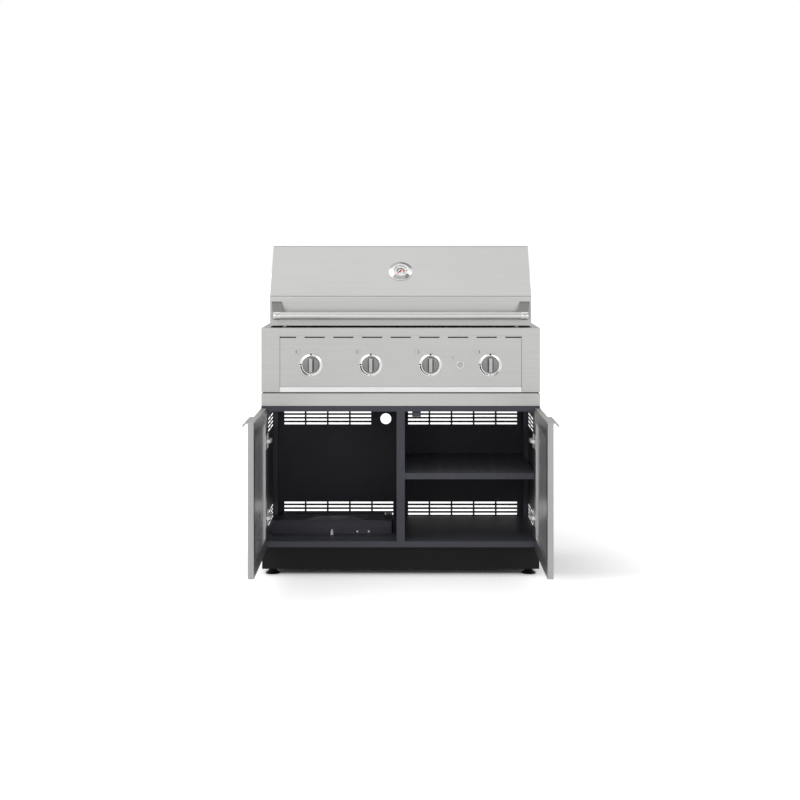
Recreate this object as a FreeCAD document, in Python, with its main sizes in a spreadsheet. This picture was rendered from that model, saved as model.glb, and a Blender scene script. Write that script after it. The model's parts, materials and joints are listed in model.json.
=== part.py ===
import FreeCAD, Part
import Sketcher
import math
import os
import re

# Outdoor kitchen island: a built-in gas grill head on a two-door sheet steel cabinet.
# X runs to the right and Y to the back, both measured from the cabinet's front plane,
# and Z up from the floor. The doors stand open at a right angle.
# Each sub-part takes its sizes from the sheet of driving dimensions, in millimetres.

doc = FreeCAD.newDocument("OutdoorKitchenIsland")
sheet = doc.addObject("Spreadsheet::Sheet", "Sizes")

DRIVING_SIZES = [
    ("cab_width", "1016", "cabinet and grill housing, side to side"),
    ("cab_depth", "552", "cabinet and grill housing, front to back"),
    ("gauge", "1.2", "sheet of the cabinet"),
    ("foot_rise", "26", "floor to the underside of the plinth"),
    ("plinth_rise", "85.1", "height of the plinth"),
    ("plinth_setback", "30", "plinth behind the cabinet front"),
    ("plinth_inset", "0", "plinth inside the cabinet sides"),
    ("plinth_flange", "45", "inward flange of the plinth ring"),
    ("floor_lip", "21.3", "front lip of the cabinet floor"),
    ("bay_rise", "473.3", "clear height of the bays"),
    ("rail_rise", "20.9", "height of the top rail"),
    ("rail_flange", "40", "flanges of the top rail"),
    ("post_width", "20", "front and rear posts, side to side"),
    ("post_depth", "60", "front posts, front to back"),
    ("rear_post_depth", "30", "rear posts, front to back"),
    ("divider_width", "30", "centre divider"),
    ("shelf_level", "248.5", "floor of the bay to the top of the shelf"),
    ("shelf_lip", "22", "front lip of the shelf"),
    ("slack", "1", "loose gap round lift-out pieces"),
    ("running_gap", "0.3", "gap beside a moving piece"),
    ("pin_gap", "0.05", "radial gap of a pin in its hole"),
    ("slot_web", "7.3", "metal between ventilation slots, side to side"),
    ("slot_rise", "7.2", "ventilation slot, height"),
    ("slot_row_pitch", "14.9", "ventilation slots, row to row"),
    ("slot_inset", "43.5", "first slot from the cabinet side"),
    ("slot_middle", "30", "last slot from the middle of the cabinet"),
    ("low_slots", "24", "floor top level to the lowest slot row, measured from the plinth top"),
    ("high_slots", "385.2", "lowest slot row from the plinth top, upper group"),
    ("slot_columns", "5", "columns of slots in one bay"),
    ("slot_rows", "4", "rows of slots in one group"),
    ("side_slot_length", "108", "slot in a side panel"),
    ("side_slot_pitch", "118", "slots in a side panel, front to back"),
    ("side_slot_front", "289", "first slot of a side panel from the front"),
    ("hose_bore", "43", "hose hole in the back"),
    ("hose_offset", "59.5", "hose hole from the middle"),
    ("hose_level", "407.3", "hose hole above the plinth top"),
    ("foot_pad", "53", "levelling foot, pad diameter"),
    ("foot_neck", "20", "levelling foot, neck diameter"),
    ("foot_inset", "35", "levelling foot from the cabinet side"),
    ("foot_setback", "83.5", "levelling foot from the cabinet front and back"),
    ("door_width", "505", "door leaf"),
    ("door_rise", "516", "door height"),
    ("door_thick", "20.4", "door thickness"),
    ("door_skirt", "8.4", "door below the floor lip"),
    ("door_border", "48", "stainless border round the inner panel"),
    ("door_recess", "7", "inner panel behind the border"),
    ("door_round", "3", "rounded upright edges of a door"),
    ("pivot_in", "11.45", "hinge pin from the door's hinge edge"),
    ("pivot_deep", "7.95", "hinge pin from the door's inner face"),
    ("open_gap", "2", "open door in front of the cabinet"),
    ("open_inset", "0", "open door's outer face inside the cabinet side"),
    ("closed_gap", "5.5", "closed door in front of the cabinet"),
    ("catch_offset", "41.5", "door catch from the middle"),
    ("catch_width", "32", "door catch"),
    ("hinge_low", "85.5", "lower hinge above the floor of the bay"),
    ("hinge_high", "364.5", "upper hinge above the floor of the bay"),
    ("hinge_pin", "6", "hinge pin diameter"),
    ("knuckle", "11", "hinge knuckle diameter"),
    ("knuckle_rise", "12", "hinge knuckle height"),
    ("cup_long", "32", "hinge cup along the door"),
    ("cup_deep", "15", "hinge cup into the door"),
    ("cup_rise", "28", "hinge cup height"),
    ("cup_edge", "1.2", "hinge cup behind the door's hinge edge"),
    ("cup_wall", "1", "hinge cup wall"),
    ("pull_length", "200", "door pull along the door"),
    ("pull_reach", "17", "door pull in front of the door"),
    ("pull_drop", "12", "door pull below its flat"),
    ("pull_gauge", "1.5", "sheet of the door pull"),
    ("tray_depth", "300", "tank tray, front to back"),
    ("tray_setback", "138", "tank tray behind the cabinet front"),
    ("slide_gap_outer", "9", "outer slide from the front post"),
    ("slide_gap_inner", "19", "inner slide from the divider"),
    ("tray_rise", "50", "front wall of the tank tray"),
    ("tray_plate", "27", "plate of the tank tray above the floor"),
    ("tray_bore", "218", "hole for the foot ring of a gas bottle"),
    ("tray_lift", "1.5", "tank tray clear of the floor"),
    ("tray_edge", "4", "side and back edges of the tank tray above its plate"),
    ("hood_depth", "115", "hoods of the tank tray over the slides' ends, front to back"),
    ("slide_width", "27", "slide of the tank tray, side to side"),
    ("slide_rise", "15", "slide height"),
    ("slide_groove", "10", "groove depth of a slide"),
    ("slide_bar", "7", "slide bar height"),
    ("fascia_rise", "44.4", "stainless fascia above the cabinet"),
    ("shadow_gap", "5.5", "gap between fascia and grill housing"),
    ("shadow_inset", "6", "supports inside the gap, from the front"),
    ("lip_lean", "7", "foot of the grease tray's front, forward of the panel"),
    ("lip_rise", "19.1", "front of the grease tray"),
    ("panel_rise", "186.3", "control panel"),
    ("flange_rise", "28.1", "front flange above the control panel"),
    ("pillar", "67", "front pillar each side of the control panel"),
    ("cheek_depth", "62", "inner cheek of a pillar, front to back"),
    ("head_gauge", "1.2", "stainless sheet of the grill head"),
    ("vent_rise", "4.5", "slot along the top of the control panel"),
    ("vent_length", "73.6", "slot of the control panel, end to end"),
    ("vent_inset", "23", "middle of the end slots from the panel's ends"),
    ("vent_count", "9", "slots along the control panel"),
    ("knob_inset", "114.45", "outer burner knobs from the panel's ends"),
    ("knob_level", "99.5", "knob axis above the underside of the grill housing"),
    ("knob_bore", "60", "knob diameter"),
    ("knob_depth", "12", "knob skirt"),
    ("knob_grip", "18", "grip bar in front of the skirt"),
    ("grip_width", "15", "grip bar"),
    ("bezel_bore", "84", "bezel diameter"),
    ("bezel_depth", "3.6", "bezel in front of the panel"),
    ("spindle_width", "8", "square valve stem"),
    ("spindle_reach", "20", "valve spindle in front of the panel"),
    ("push_travel", "3", "knob push"),
    ("valve_setback", "24", "valves behind the front of the panel"),
    ("valve_length", "42", "valve body, front to back"),
    ("manifold", "20", "square manifold tube"),
    ("inlet_bore", "18", "gas inlet, outside diameter"),
    ("inlet_length", "18", "gas inlet, length"),
    ("inlet_sunk", "4", "gas inlet inside the back wall"),
    ("inlet_window", "44", "hole in the back wall round the gas inlet"),
    ("pipe_bore", "14", "gas supply pipe"),
    ("pipe_inset", "27", "gas supply pipe from the housing side"),
    ("inlet_plate", "56", "width of the inlet plate at the right end of the back"),
    ("pipe_elbow", "22", "elbow block of the gas supply pipe"),
    ("switch_bore", "30", "light switch bezel"),
    ("switch_rise", "3.5", "light switch bezel in front of the panel"),
    ("button_bore", "20", "light button"),
    ("button_travel", "2.5", "light button push"),
    ("switch_offset", "217", "light switch from the middle"),
    ("fire_width", "890", "firebox, side to side"),
    ("fire_front", "95", "firebox behind the housing front"),
    ("fire_depth", "400", "firebox, front to back"),
    ("fire_wall", "1.5", "firebox sheet"),
    ("fire_drop", "190", "firebox below the deck"),
    ("fire_knee", "30", "sloping lower part of the firebox, height"),
    ("fire_slope", "75", "sloping lower part of the firebox, front to back"),
    ("fire_rim", "10", "firebox rim on the deck"),
    ("burner_bore", "38", "burner tube"),
    ("burner_reach", "11", "burner tube in front of the firebox"),
    ("tamer_width", "150", "flame tamer, side to side"),
    ("tamer_rise", "38", "flame tamer height"),
    ("tamer_level", "60", "foot of a flame tamer above the burner axis"),
    ("grate_count", "4", "cooking grates side by side"),
    ("grate_bars", "10", "bars in a grate"),
    ("grate_bar", "8", "grate bar width"),
    ("grate_rise", "12", "grate bar height"),
    ("grate_drop", "16", "top of the grates below the deck"),
    ("rack_level", "72", "warming rack above the deck"),
    ("rack_front", "367", "warming rack from the housing front"),
    ("rack_depth", "112", "warming rack, front to back"),
    ("rack_rods", "4", "rods of the warming rack"),
    ("lid_width", "963", "lid, side to side"),
    ("lid_front", "60", "lid behind the housing front"),
    ("lid_back", "530", "back of the lid from the housing front"),
    ("lid_gap", "6", "lid above the deck"),
    ("lid_apron", "107.3", "upright front of the lid"),
    ("lid_run", "169", "sloping front of the lid, front to back"),
    ("lid_slope_rise", "184.8", "sloping front of the lid, height"),
    ("lid_top", "171", "flat top of the lid, front to back"),
    ("lid_back_drop", "126", "sloping back of the lid, height"),
    ("lid_round", "12", "bends of the lid"),
    ("lid_wall", "1.2", "lid sheet"),
    ("liner_gap", "14", "lid liner inside the lid"),
    ("liner_side", "19.5", "lid liner inside the lid's ends"),
    ("lid_pivot_back", "520", "lid pin from the housing front"),
    ("lid_pivot_rise", "40", "lid pin above the deck"),
    ("lid_pin", "10", "lid pin diameter"),
    ("pivot_reach", "7", "lid pin beyond the lid's end"),
    ("handle_bore", "28", "handle tube"),
    ("handle_reach", "50", "handle axis in front of the lid"),
    ("handle_level", "45", "handle axis above the deck"),
    ("handle_length", "932", "handle, end to end"),
    ("bracket_outer", "475", "handle bracket from the middle, outer side"),
    ("bracket_width", "37", "handle bracket at the lid"),
    ("gauge_bore", "90", "thermometer bezel"),
    ("gauge_depth", "9", "thermometer in front of the lid"),
    ("dial_bore", "52", "thermometer dial"),
    ("dial_floor", "2.5", "thermometer dial in front of the lid"),
    ("gauge_up", "123.2", "thermometer up the slope"),
]

for number, (alias, value, meaning) in enumerate(DRIVING_SIZES, 1):
    sheet.set(f"A{number}", alias)
    sheet.set(f"B{number}", value)
    sheet.setAlias(f"B{number}", alias)
    sheet.set(f"C{number}", meaning)
doc.recompute()

ALIASES = {alias for alias, value, meaning in DRIVING_SIZES}
VECTOR = FreeCAD.Vector
WORD = re.compile(r"[a-z][a-z0-9_]*")

# Levels and places that follow from the driving sizes.
ORIGIN_Y = "((open_gap + door_width - cab_depth) / 2)"
HALF = "(cab_width / 2)"
Z_PLINTH = "(foot_rise + plinth_rise)"
Z_FLOOR = f"({Z_PLINTH} + floor_lip)"
Z_RAIL = f"({Z_FLOOR} + bay_rise)"
Z_CABINET = f"({Z_RAIL} + rail_rise)"
Z_FASCIA = f"({Z_CABINET} + fascia_rise)"
Z_HEAD = f"({Z_FASCIA} + shadow_gap)"
Z_PANEL = f"({Z_HEAD} + lip_rise)"
Z_FLANGE = f"({Z_PANEL} + panel_rise)"
Z_DECK = f"({Z_FLANGE} + flange_rise)"
Z_KNOB = f"({Z_HEAD} + knob_level)"
Z_LID = f"({Z_DECK} + lid_gap)"
Z_PIVOT = f"({Z_DECK} + lid_pivot_rise)"
PANEL_HALF = f"({HALF} - pillar)"
BACK_INNER = "(cab_depth - 2 * gauge)"
POST_FACE = f"({HALF} - post_width)"
FIRE_BACK = "(fire_front + fire_depth)"
GAP = "running_gap"
Z_GRATE = f"({Z_DECK} - grate_drop)"


def cells(text):
    return WORD.sub(lambda m: f"Sizes.{m[0]}" if m[0] in ALIASES else m[0], text)


def bind(thing, prop, text):
    thing.setExpression(prop, cells(text))


def value(alias):
    return float(sheet.get(alias))


# Primitives, placed from the cabinet's front plane.


def block(name, x, y, z):
    thing = doc.addObject("Part::Box", name)
    for prop, axis, (low, high), shift in (
        ("Length", "x", x, "0"),
        ("Width", "y", y, ORIGIN_Y),
        ("Height", "z", z, "0"),
    ):
        bind(thing, prop, f"({high}) - ({low})")
        bind(thing, f"Placement.Base.{axis}", f"{shift} + ({low})")
    return thing


ALONG = {
    "X": FreeCAD.Rotation(VECTOR(0, 1, 0), 90),
    "Y": FreeCAD.Rotation(VECTOR(1, 0, 0), -90),
    "Z": FreeCAD.Rotation(),
}


def rod(name, axis, radius, length, x, y, z):
    thing = doc.addObject("Part::Cylinder", name)
    thing.Placement = FreeCAD.Placement(VECTOR(), ALONG[axis])
    bind(thing, "Radius", radius)
    bind(thing, "Height", length)
    bind(thing, "Placement.Base.x", x)
    bind(thing, "Placement.Base.y", f"{ORIGIN_Y} + ({y})")
    bind(thing, "Placement.Base.z", z)
    return thing


def joined(name, pieces):
    thing = doc.addObject("Part::MultiFuse", name)
    thing.Shapes = pieces
    thing.Refine = True
    return thing


def grouped(name, pieces):
    thing = doc.addObject("Part::Compound", name)
    thing.Links = pieces
    return thing


def less(name, base, tools):
    thing = doc.addObject("Part::Cut", name)
    thing.Base = base
    thing.Tool = tools[0] if len(tools) == 1 else joined(f"{name}_cutters", tools)
    thing.Refine = True
    return thing


def mirrored(name, source):
    thing = doc.addObject("Part::Mirroring", name)
    thing.Source = source
    thing.Normal = VECTOR(1, 0, 0)
    thing.Base = VECTOR(0, 0, 0)
    return thing


# Sketches. Every corner is held by its distances from the origin.

PLANES = {
    "XY": (FreeCAD.Rotation(), VECTOR(0, 0, 1), "z", 1),
    "XZ": (FreeCAD.Rotation(VECTOR(1, 0, 0), 90), VECTOR(0, 1, 0), "y", -1),
    "YZ": (FreeCAD.Rotation(VECTOR(1, 1, 1), 120), VECTOR(1, 0, 0), "x", 1),
}


def hold(sketch, edge, end, x, y):
    for kind, text in (("DistanceX", x), ("DistanceY", y)):
        number = sketch.addConstraint(Sketcher.Constraint(kind, -1, 1, edge, end, 1.0))
        bind(sketch, f"Constraints[{number}]", text)


def polyline(sketch, points, closed=True):
    count = len(points)
    turn = 2 * math.pi / (count + 1)
    start = [VECTOR(math.cos(turn * n), math.sin(turn * n), 0) for n in range(count)]
    edges = count if closed else count - 1
    first = sketch.GeometryCount
    for n in range(edges):
        sketch.addGeometry(Part.LineSegment(start[n], start[(n + 1) % count]))
    for n in range(edges if closed else edges - 1):
        after = first + (n + 1) % edges
        sketch.addConstraint(Sketcher.Constraint("Coincident", first + n, 2, after, 1))
    for n, (x, y) in enumerate(points):
        last = not closed and n == count - 1
        hold(sketch, first + (n - 1 if last else n), 2 if last else 1, x, y)


def circle(sketch, x, y, diameter):
    ring = sketch.addGeometry(Part.Circle(VECTOR(0, 0, 0), VECTOR(0, 0, 1), 10))
    hold(sketch, ring, 3, x, y)
    number = sketch.addConstraint(Sketcher.Constraint("Diameter", ring, 20.0))
    bind(sketch, f"Constraints[{number}]", diameter)


def corners(x, y):
    return [(x[0], y[0]), (x[1], y[0]), (x[1], y[1]), (x[0], y[1])]


# Bent sheet: an open bend line, thickened to its left (side -1) or right (side 1) as walked,
# and drawn out to its width.


def bent(name, plane, points, thick, low, high, side=1):
    path = doc.addObject("Sketcher::SketchObject", f"{name}_bends")
    turn, axis, across, sense = PLANES[plane]
    path.Placement = FreeCAD.Placement(VECTOR(), turn)
    bind(path, "Placement.Base.y", ORIGIN_Y)
    bind(path, f"Placement.Base.{across}", f"{ORIGIN_Y} + ({low})" if across == "y" else low)
    polyline(path, points, closed=False)
    wall = doc.addObject("Part::Offset2D", f"{name}_wall")
    wall.Source = path
    wall.Mode = "Skin"
    wall.Join = "Intersection"
    wall.Fill = True
    bind(wall, "Value", f"{side * sense} * ({thick})")
    thing = doc.addObject("Part::Extrusion", name)
    thing.Base = wall
    thing.DirMode = "Custom"
    thing.Dir = axis
    thing.Solid = True
    bind(thing, "LengthFwd", f"({high}) - ({low})")
    return thing


# Bodies: sketches on the body's own origin planes, drawn out towards +X, +Y or +Z.


def new_body(name, y="0"):
    body = doc.addObject("PartDesign::Body", name)
    bind(body, "Placement.Base.y", f"{ORIGIN_Y} + ({y})")
    return body


def origin_part(body, role):
    return next(f for f in body.Origin.OriginFeatures if f.Role == role)


def sketch_on(body, plane, level="0"):
    sketch = body.newObject("Sketcher::SketchObject", f"{body.Name}_{plane}")
    sketch.AttachmentSupport = (origin_part(body, f"{plane}_Plane"), [""])
    sketch.MapMode = "FlatFace"
    sign = "-1 * " if plane == "XZ" else ""
    bind(sketch, "AttachmentOffset.Base.z", f"{sign}({level})")
    return sketch


def swept(body, kind, sketch, plane, length):
    feature = body.newObject(f"PartDesign::{kind}", f"{body.Name}_{kind}")
    feature.Profile = (sketch, [""])
    feature.Reversed = (plane == "XZ") == (kind == "Pad")
    bind(feature, "Length", length)
    body.Tip = feature
    return feature


def slab(body, plane, points, low, high):
    sketch = sketch_on(body, plane, low)
    polyline(sketch, points)
    return swept(body, "Pad", sketch, plane, f"({high}) - ({low})")


def carve(body, plane, points, low, high):
    sketch = sketch_on(body, plane, low)
    polyline(sketch, points)
    return swept(body, "Pocket", sketch, plane, f"({high}) - ({low})")


def drill(body, plane, x, y, diameter, low, high):
    sketch = sketch_on(body, plane, low)
    circle(sketch, x, y, diameter)
    return swept(body, "Pocket", sketch, plane, f"({high}) - ({low})")


def repeat(body, features, axis, pitch, count):
    rows = body.newObject("PartDesign::LinearPattern", f"{body.Name}_rows")
    rows.Originals = features
    rows.Direction = (origin_part(body, f"{axis}_Axis"), [""])
    rows.Mode = "Spacing"
    bind(rows, "Offset", pitch)
    bind(rows, "Occurrences", count)
    body.Tip = rows
    return rows


# Turned pieces: an outline of radius and height, turned about the body's own Z axis.

FACING = {
    "up": FreeCAD.Rotation(),
    "down": FreeCAD.Rotation(VECTOR(1, 0, 0), 180),
    "front": FreeCAD.Rotation(VECTOR(1, 0, 0), 90),
    "right": FreeCAD.Rotation(VECTOR(0, 1, 0), 90),
}


def turned(name, points, x, y, z, facing="up"):
    body = doc.addObject("PartDesign::Body", name)
    body.Placement = FreeCAD.Placement(VECTOR(), FACING[facing])
    bind(body, "Placement.Base.x", x)
    bind(body, "Placement.Base.y", f"{ORIGIN_Y} + ({y})")
    bind(body, "Placement.Base.z", z)
    spin(body, "Revolution", points)
    return body


def spin(body, kind, points):
    sketch = sketch_on(body, "XZ")
    polyline(sketch, points)
    feature = body.newObject(f"PartDesign::{kind}", f"{body.Name}_{kind}")
    feature.Profile = (sketch, [""])
    feature.ReferenceAxis = (sketch, ["V_Axis"])
    feature.Angle = 360
    body.Tip = feature
    return feature


def edges_along(shape, axis, keep):
    """Names of the shape's straight edges along an axis that keep(centre) accepts."""
    names = []
    for number, edge in enumerate(shape.Edges, 1):
        box = edge.BoundBox
        spans = {"X": box.XLength, "Y": box.YLength, "Z": box.ZLength}
        others = [length for name, length in spans.items() if name != axis]
        if spans[axis] > 1 and max(others) < 0.001 and keep(box.Center):
            names.append(f"Edge{number}")
    return names


def rounded(body, feature, edges, radius):
    fillet = body.newObject("PartDesign::Fillet", f"{body.Name}_fillet")
    fillet.Base = (feature, edges)
    bind(fillet, "Radius", radius)
    body.Tip = fillet
    return fillet


SUBPARTS = []


def keep(*things):
    SUBPARTS.extend(things)


# Cabinet shell: side panels folded round hollow front posts, with two groups of slots.

SIDE_BENDS = [
    (f"-{POST_FACE}", "cab_depth"),
    (f"-{HALF}", "cab_depth"),
    (f"-{HALF}", "0"),
    (f"-{POST_FACE}", "0"),
    (f"-{POST_FACE}", "post_depth"),
    (f"-{HALF} + gauge + slack", "post_depth"),
]


def slot_bands():
    for level in ("low_slots", "high_slots"):
        for row in range(int(value("slot_rows"))):
            yield f"{Z_PLINTH} + {level} + {row} * slot_row_pitch"


def side_panel():
    shell = bent("side_shell", "XY", SIDE_BENDS, "gauge", Z_PLINTH, Z_CABINET, -1)
    cutters = []
    for number, low in enumerate(slot_bands()):
        for column in range(2):
            front = f"side_slot_front + {column} * side_slot_pitch"
            cutters.append(
                block(
                    f"side_slot_{number}_{column}",
                    (f"-{HALF} - gauge", f"-{HALF} + 2 * gauge"),
                    (front, f"{front} + side_slot_length"),
                    (low, f"{low} + slot_rise"),
                )
            )
    return less("side_panel_left", shell, cutters)


left_side = side_panel()
keep(left_side, mirrored("side_panel_right", left_side))


# Back panel: one slot, repeated over each bay, and the hose hole beside the upper left group.

SLOT_PITCH = f"(({HALF} - slot_inset - slot_middle + slot_web) / slot_columns)"
SLOT_LENGTH = f"({SLOT_PITCH} - slot_web)"


def back_panel():
    body = new_body("back_panel")
    plane = "XZ"
    low, high = BACK_INNER, f"{BACK_INNER} + gauge"
    edge = f"{HALF} - gauge"
    slab(body, plane, corners((f"-({edge})", edge), (Z_PLINTH, Z_CABINET)), low, high)
    left = f"-{HALF} + slot_inset"
    right = f"{HALF} - slot_inset - {SLOT_LENGTH}"
    for side, group, sign, columns in (
        (left, "low_slots", 1, "slot_columns"),
        (left, "high_slots", 1, "slot_columns - 1"),
        (right, "low_slots", -1, "slot_columns"),
        (right, "high_slots", -1, "slot_columns"),
    ):
        slots = []
        for row in range(int(value("slot_rows"))):
            foot = f"{Z_PLINTH} + {group} + {row} * slot_row_pitch"
            outline = corners((side, f"{side} + {SLOT_LENGTH}"), (foot, f"{foot} + slot_rise"))
            slots.append(carve(body, plane, outline, f"{low} - gauge", f"{high} + gauge"))
        rows = repeat(body, slots, "X", SLOT_PITCH, columns)
        rows.Reversed = sign < 0
    drill(
        body, plane, "-hose_offset", f"{Z_PLINTH} + hose_level", "hose_bore",
        f"{low} - gauge", f"{high} + gauge",
    )
    return body


keep(back_panel())


# Cabinet floor: folded down at the front and back, notched round the front posts.


def floor_panel():
    bends = [
        ("25", Z_PLINTH),
        ("0", Z_PLINTH),
        ("0", Z_FLOOR),
        (BACK_INNER, Z_FLOOR),
        (BACK_INNER, f"{Z_PLINTH} + gauge"),
    ]
    edge = f"{HALF} - gauge"
    plate = bent("floor_plate", "YZ", bends, "gauge", f"-({edge})", edge)
    notches = []
    for name, x in (
        ("left", (f"-{HALF}", f"-{POST_FACE}")),
        ("right", (POST_FACE, HALF)),
    ):
        notches.append(
            block(f"floor_notch_{name}", x, ("-1", "post_depth"), (Z_PLINTH, f"{Z_FLOOR} + 1"))
        )
    return less("floor_panel", plate, notches)


keep(floor_panel())


# Rear corner posts: an angle in each back corner, which the back panel and shelf clips use.


def rear_post():
    bends = [
        (f"-{HALF} + gauge", f"{BACK_INNER} - rear_post_depth"),
        (f"-{POST_FACE}", f"{BACK_INNER} - rear_post_depth"),
        (f"-{POST_FACE}", BACK_INNER),
    ]
    return bent("rear_post_left", "XY", bends, "gauge", Z_FLOOR, Z_RAIL, -1)


rear_left = rear_post()
keep(grouped("rear_corner_posts", [rear_left, mirrored("rear_post_right", rear_left)]))


# Centre divider: a channel open to the back.

keep(
    bent(
        "centre_divider",
        "XY",
        [
            ("-divider_width / 2", BACK_INNER),
            ("-divider_width / 2", "0"),
            ("divider_width / 2", "0"),
            ("divider_width / 2", BACK_INNER),
        ],
        "gauge",
        Z_FLOOR,
        Z_RAIL,
        -1,
    )
)


# Top rails: a channel between the front posts, and one along the back.

front_rail = bent(
    "front_rail",
    "YZ",
    [("rail_flange", Z_RAIL), ("0", Z_RAIL), ("0", Z_CABINET), ("rail_flange", Z_CABINET)],
    "gauge",
    f"-{POST_FACE}",
    POST_FACE,
)
rear_rail = bent(
    "rear_rail",
    "YZ",
    [
        (f"{BACK_INNER} - rail_flange", Z_RAIL),
        (BACK_INNER, Z_RAIL),
        (BACK_INNER, Z_CABINET),
        (f"{BACK_INNER} - rail_flange", Z_CABINET),
    ],
    "gauge",
    f"-({HALF} - gauge)",
    f"{HALF} - gauge",
    -1,
)
keep(grouped("top_rails", [front_rail, rear_rail]))


# Plinth: a welded channel ring, set back under the cabinet front.

PLINTH_X = f"({HALF} - plinth_inset)"
PLINTH_BACK = "(cab_depth - plinth_setback)"


def plinth_frame():
    body = new_body("plinth_frame")

    def ring(inset):
        x = (f"-({PLINTH_X} - {inset})", f"{PLINTH_X} - {inset}")
        return corners(x, (f"plinth_setback + {inset}", f"{PLINTH_BACK} - {inset}"))

    slab(body, "XY", ring("0"), "foot_rise", Z_PLINTH)
    carve(body, "XY", ring("plinth_flange"), "foot_rise - 1", f"{Z_PLINTH} + 1")
    carve(body, "XY", ring("gauge"), "foot_rise + gauge", f"{Z_PLINTH} - gauge")
    return body


keep(plinth_frame())


# Levelling feet: a turned pad, cone and neck under each corner of the plinth.


def levelling_foot(name, x, y):
    outline = [
        ("0", "0"),
        ("foot_pad / 2", "0"),
        ("foot_pad / 2", "3"),
        ("foot_neck / 2", "foot_rise"),
        ("0", "foot_rise"),
    ]
    return turned(name, outline, x, y, "0")


feet = []
for side, x in (("left", f"-({HALF} - foot_inset)"), ("right", f"{HALF} - foot_inset")):
    for end, y in (("front", "foot_setback"), ("rear", "cab_depth - foot_setback")):
        feet.append(levelling_foot(f"foot_{end}_{side}", x, y))
keep(grouped("levelling_feet", feet))


# Adjustable shelf in the right bay, on four clips.

SHELF_TOP = f"({Z_FLOOR} + shelf_level)"
SHELF_LOW = f"({SHELF_TOP} - gauge)"

keep(
    bent(
        "adjustable_shelf",
        "YZ",
        [
            ("14", f"{SHELF_TOP} - shelf_lip"),
            ("slack", f"{SHELF_TOP} - shelf_lip"),
            ("slack", SHELF_TOP),
            (f"{BACK_INNER} - slack", SHELF_TOP),
            (f"{BACK_INNER} - slack", f"{SHELF_TOP} - shelf_lip"),
        ],
        "gauge",
        "divider_width / 2 + slack",
        f"{POST_FACE} - slack",
    )
)


def shelf_clip(name, wall, sign, front):
    inner = (f"{wall} - 2", wall) if sign > 0 else (wall, f"{wall} + 2")
    foot = (f"{wall} - 14", wall) if sign > 0 else (wall, f"{wall} + 14")
    y = (front, f"{front} + 16")
    leg = block(f"{name}_leg", inner, y, (f"{SHELF_LOW} - 16", SHELF_LOW))
    ledge = block(f"{name}_ledge", foot, y, (f"{SHELF_LOW} - 2", SHELF_LOW))
    return joined(name, [leg, ledge])


clips = []
for side, wall, sign in (("inner", "(divider_width / 2)", -1), ("outer", POST_FACE, 1)):
    clips.append(shelf_clip(f"clip_front_{side}", wall, sign, "(post_depth - 30)"))
    clips.append(shelf_clip(f"clip_rear_{side}", wall, sign, f"({BACK_INNER} - 25)"))
keep(grouped("shelf_clips", clips))


# Door catch: a folded bracket under the top rail with its magnet.


def door_catch():
    near, far = "catch_offset", "catch_offset + catch_width"
    plate = block("catch_plate", (near, far), ("5", "38"), (f"{Z_RAIL} - 2", Z_RAIL))
    face = block("catch_face", (near, far), ("3", "5"), (f"{Z_RAIL} - 19", Z_RAIL))
    magnet = block(
        "catch_magnet",
        ("catch_offset + 4", "catch_offset + catch_width - 4"),
        ("-(closed_gap - 0.5)", "3"),
        (f"{Z_RAIL} - 16", f"{Z_RAIL} - 5"),
    )
    return joined("door_catch", [plate, face, magnet])


keep(door_catch())


# Doors. A door's own corner is where its hinge edge meets its inner face. Here u runs from the
# hinge edge along the door and v from the inner face outwards. Open, u is -Y and v is outwards.

Z_DOOR = f"({Z_PLINTH} - door_skirt)"
Z_DOOR_TOP = f"({Z_DOOR} + door_rise)"
FACE_X = f"({HALF} - open_inset - door_thick)"
PIVOT_X = f"({FACE_X} + pivot_deep)"
PIVOT_Y = "(-(open_gap + pivot_in))"
HINGE_LEVELS = (f"({Z_FLOOR} + hinge_low)", f"({Z_FLOOR} + hinge_high)")


def door_y(u_low, u_high):
    return (f"-(open_gap + {u_high})", f"-(open_gap + {u_low})")


def door_x(v_low, v_high):
    return (f"-({FACE_X} + {v_high})", f"-({FACE_X} + {v_low})")


def door_skin():
    body = new_body("door_skin")
    plan = corners(door_x("0", "door_thick"), door_y("0", "door_width"))
    leaf = slab(body, "XY", plan, Z_DOOR, Z_DOOR_TOP)
    doc.recompute()
    uprights = edges_along(leaf.Shape, "Z", lambda centre: True)
    rounded(body, leaf, uprights, "door_round")
    face = corners(
        door_y("door_border", "door_width - door_border"),
        (f"{Z_DOOR} + door_border", f"{Z_DOOR_TOP} - door_border"),
    )
    carve(body, "YZ", face, f"-({FACE_X} + door_thick - head_gauge)", f"-({FACE_X} - 1)")
    inside = corners(
        door_y("door_round", "door_width - door_round"),
        (f"{Z_DOOR} + head_gauge", f"{Z_DOOR_TOP} - head_gauge"),
    )
    carve(
        body, "YZ", inside,
        f"-({FACE_X} + door_thick - head_gauge)", f"-({FACE_X} + head_gauge)",
    )
    for level in HINGE_LEVELS:
        notch = corners(door_y("-1", "cup_long"), (f"{level} - cup_rise / 2", f"{level} + cup_rise / 2"))
        carve(body, "YZ", notch, f"-({FACE_X} + cup_deep)", f"-({FACE_X} - 1)")
    return body


def door_liner():
    """The painted inner panel: a shallow tray let into the stainless border."""
    body = new_body("door_liner")
    gap = "running_gap"

    def face(inset):
        return corners(
            door_y(f"door_border + {inset}", f"door_width - door_border - {inset}"),
            (f"{Z_DOOR} + door_border + {inset}", f"{Z_DOOR_TOP} - door_border - {inset}"),
        )

    slab(body, "YZ", face(gap), f"-({FACE_X} + door_recess + gauge)", f"-{FACE_X}")
    carve(body, "YZ", face(f"{gap} + gauge"), f"-({FACE_X} + door_recess)", f"-({FACE_X} - 1)")
    return body


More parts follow.
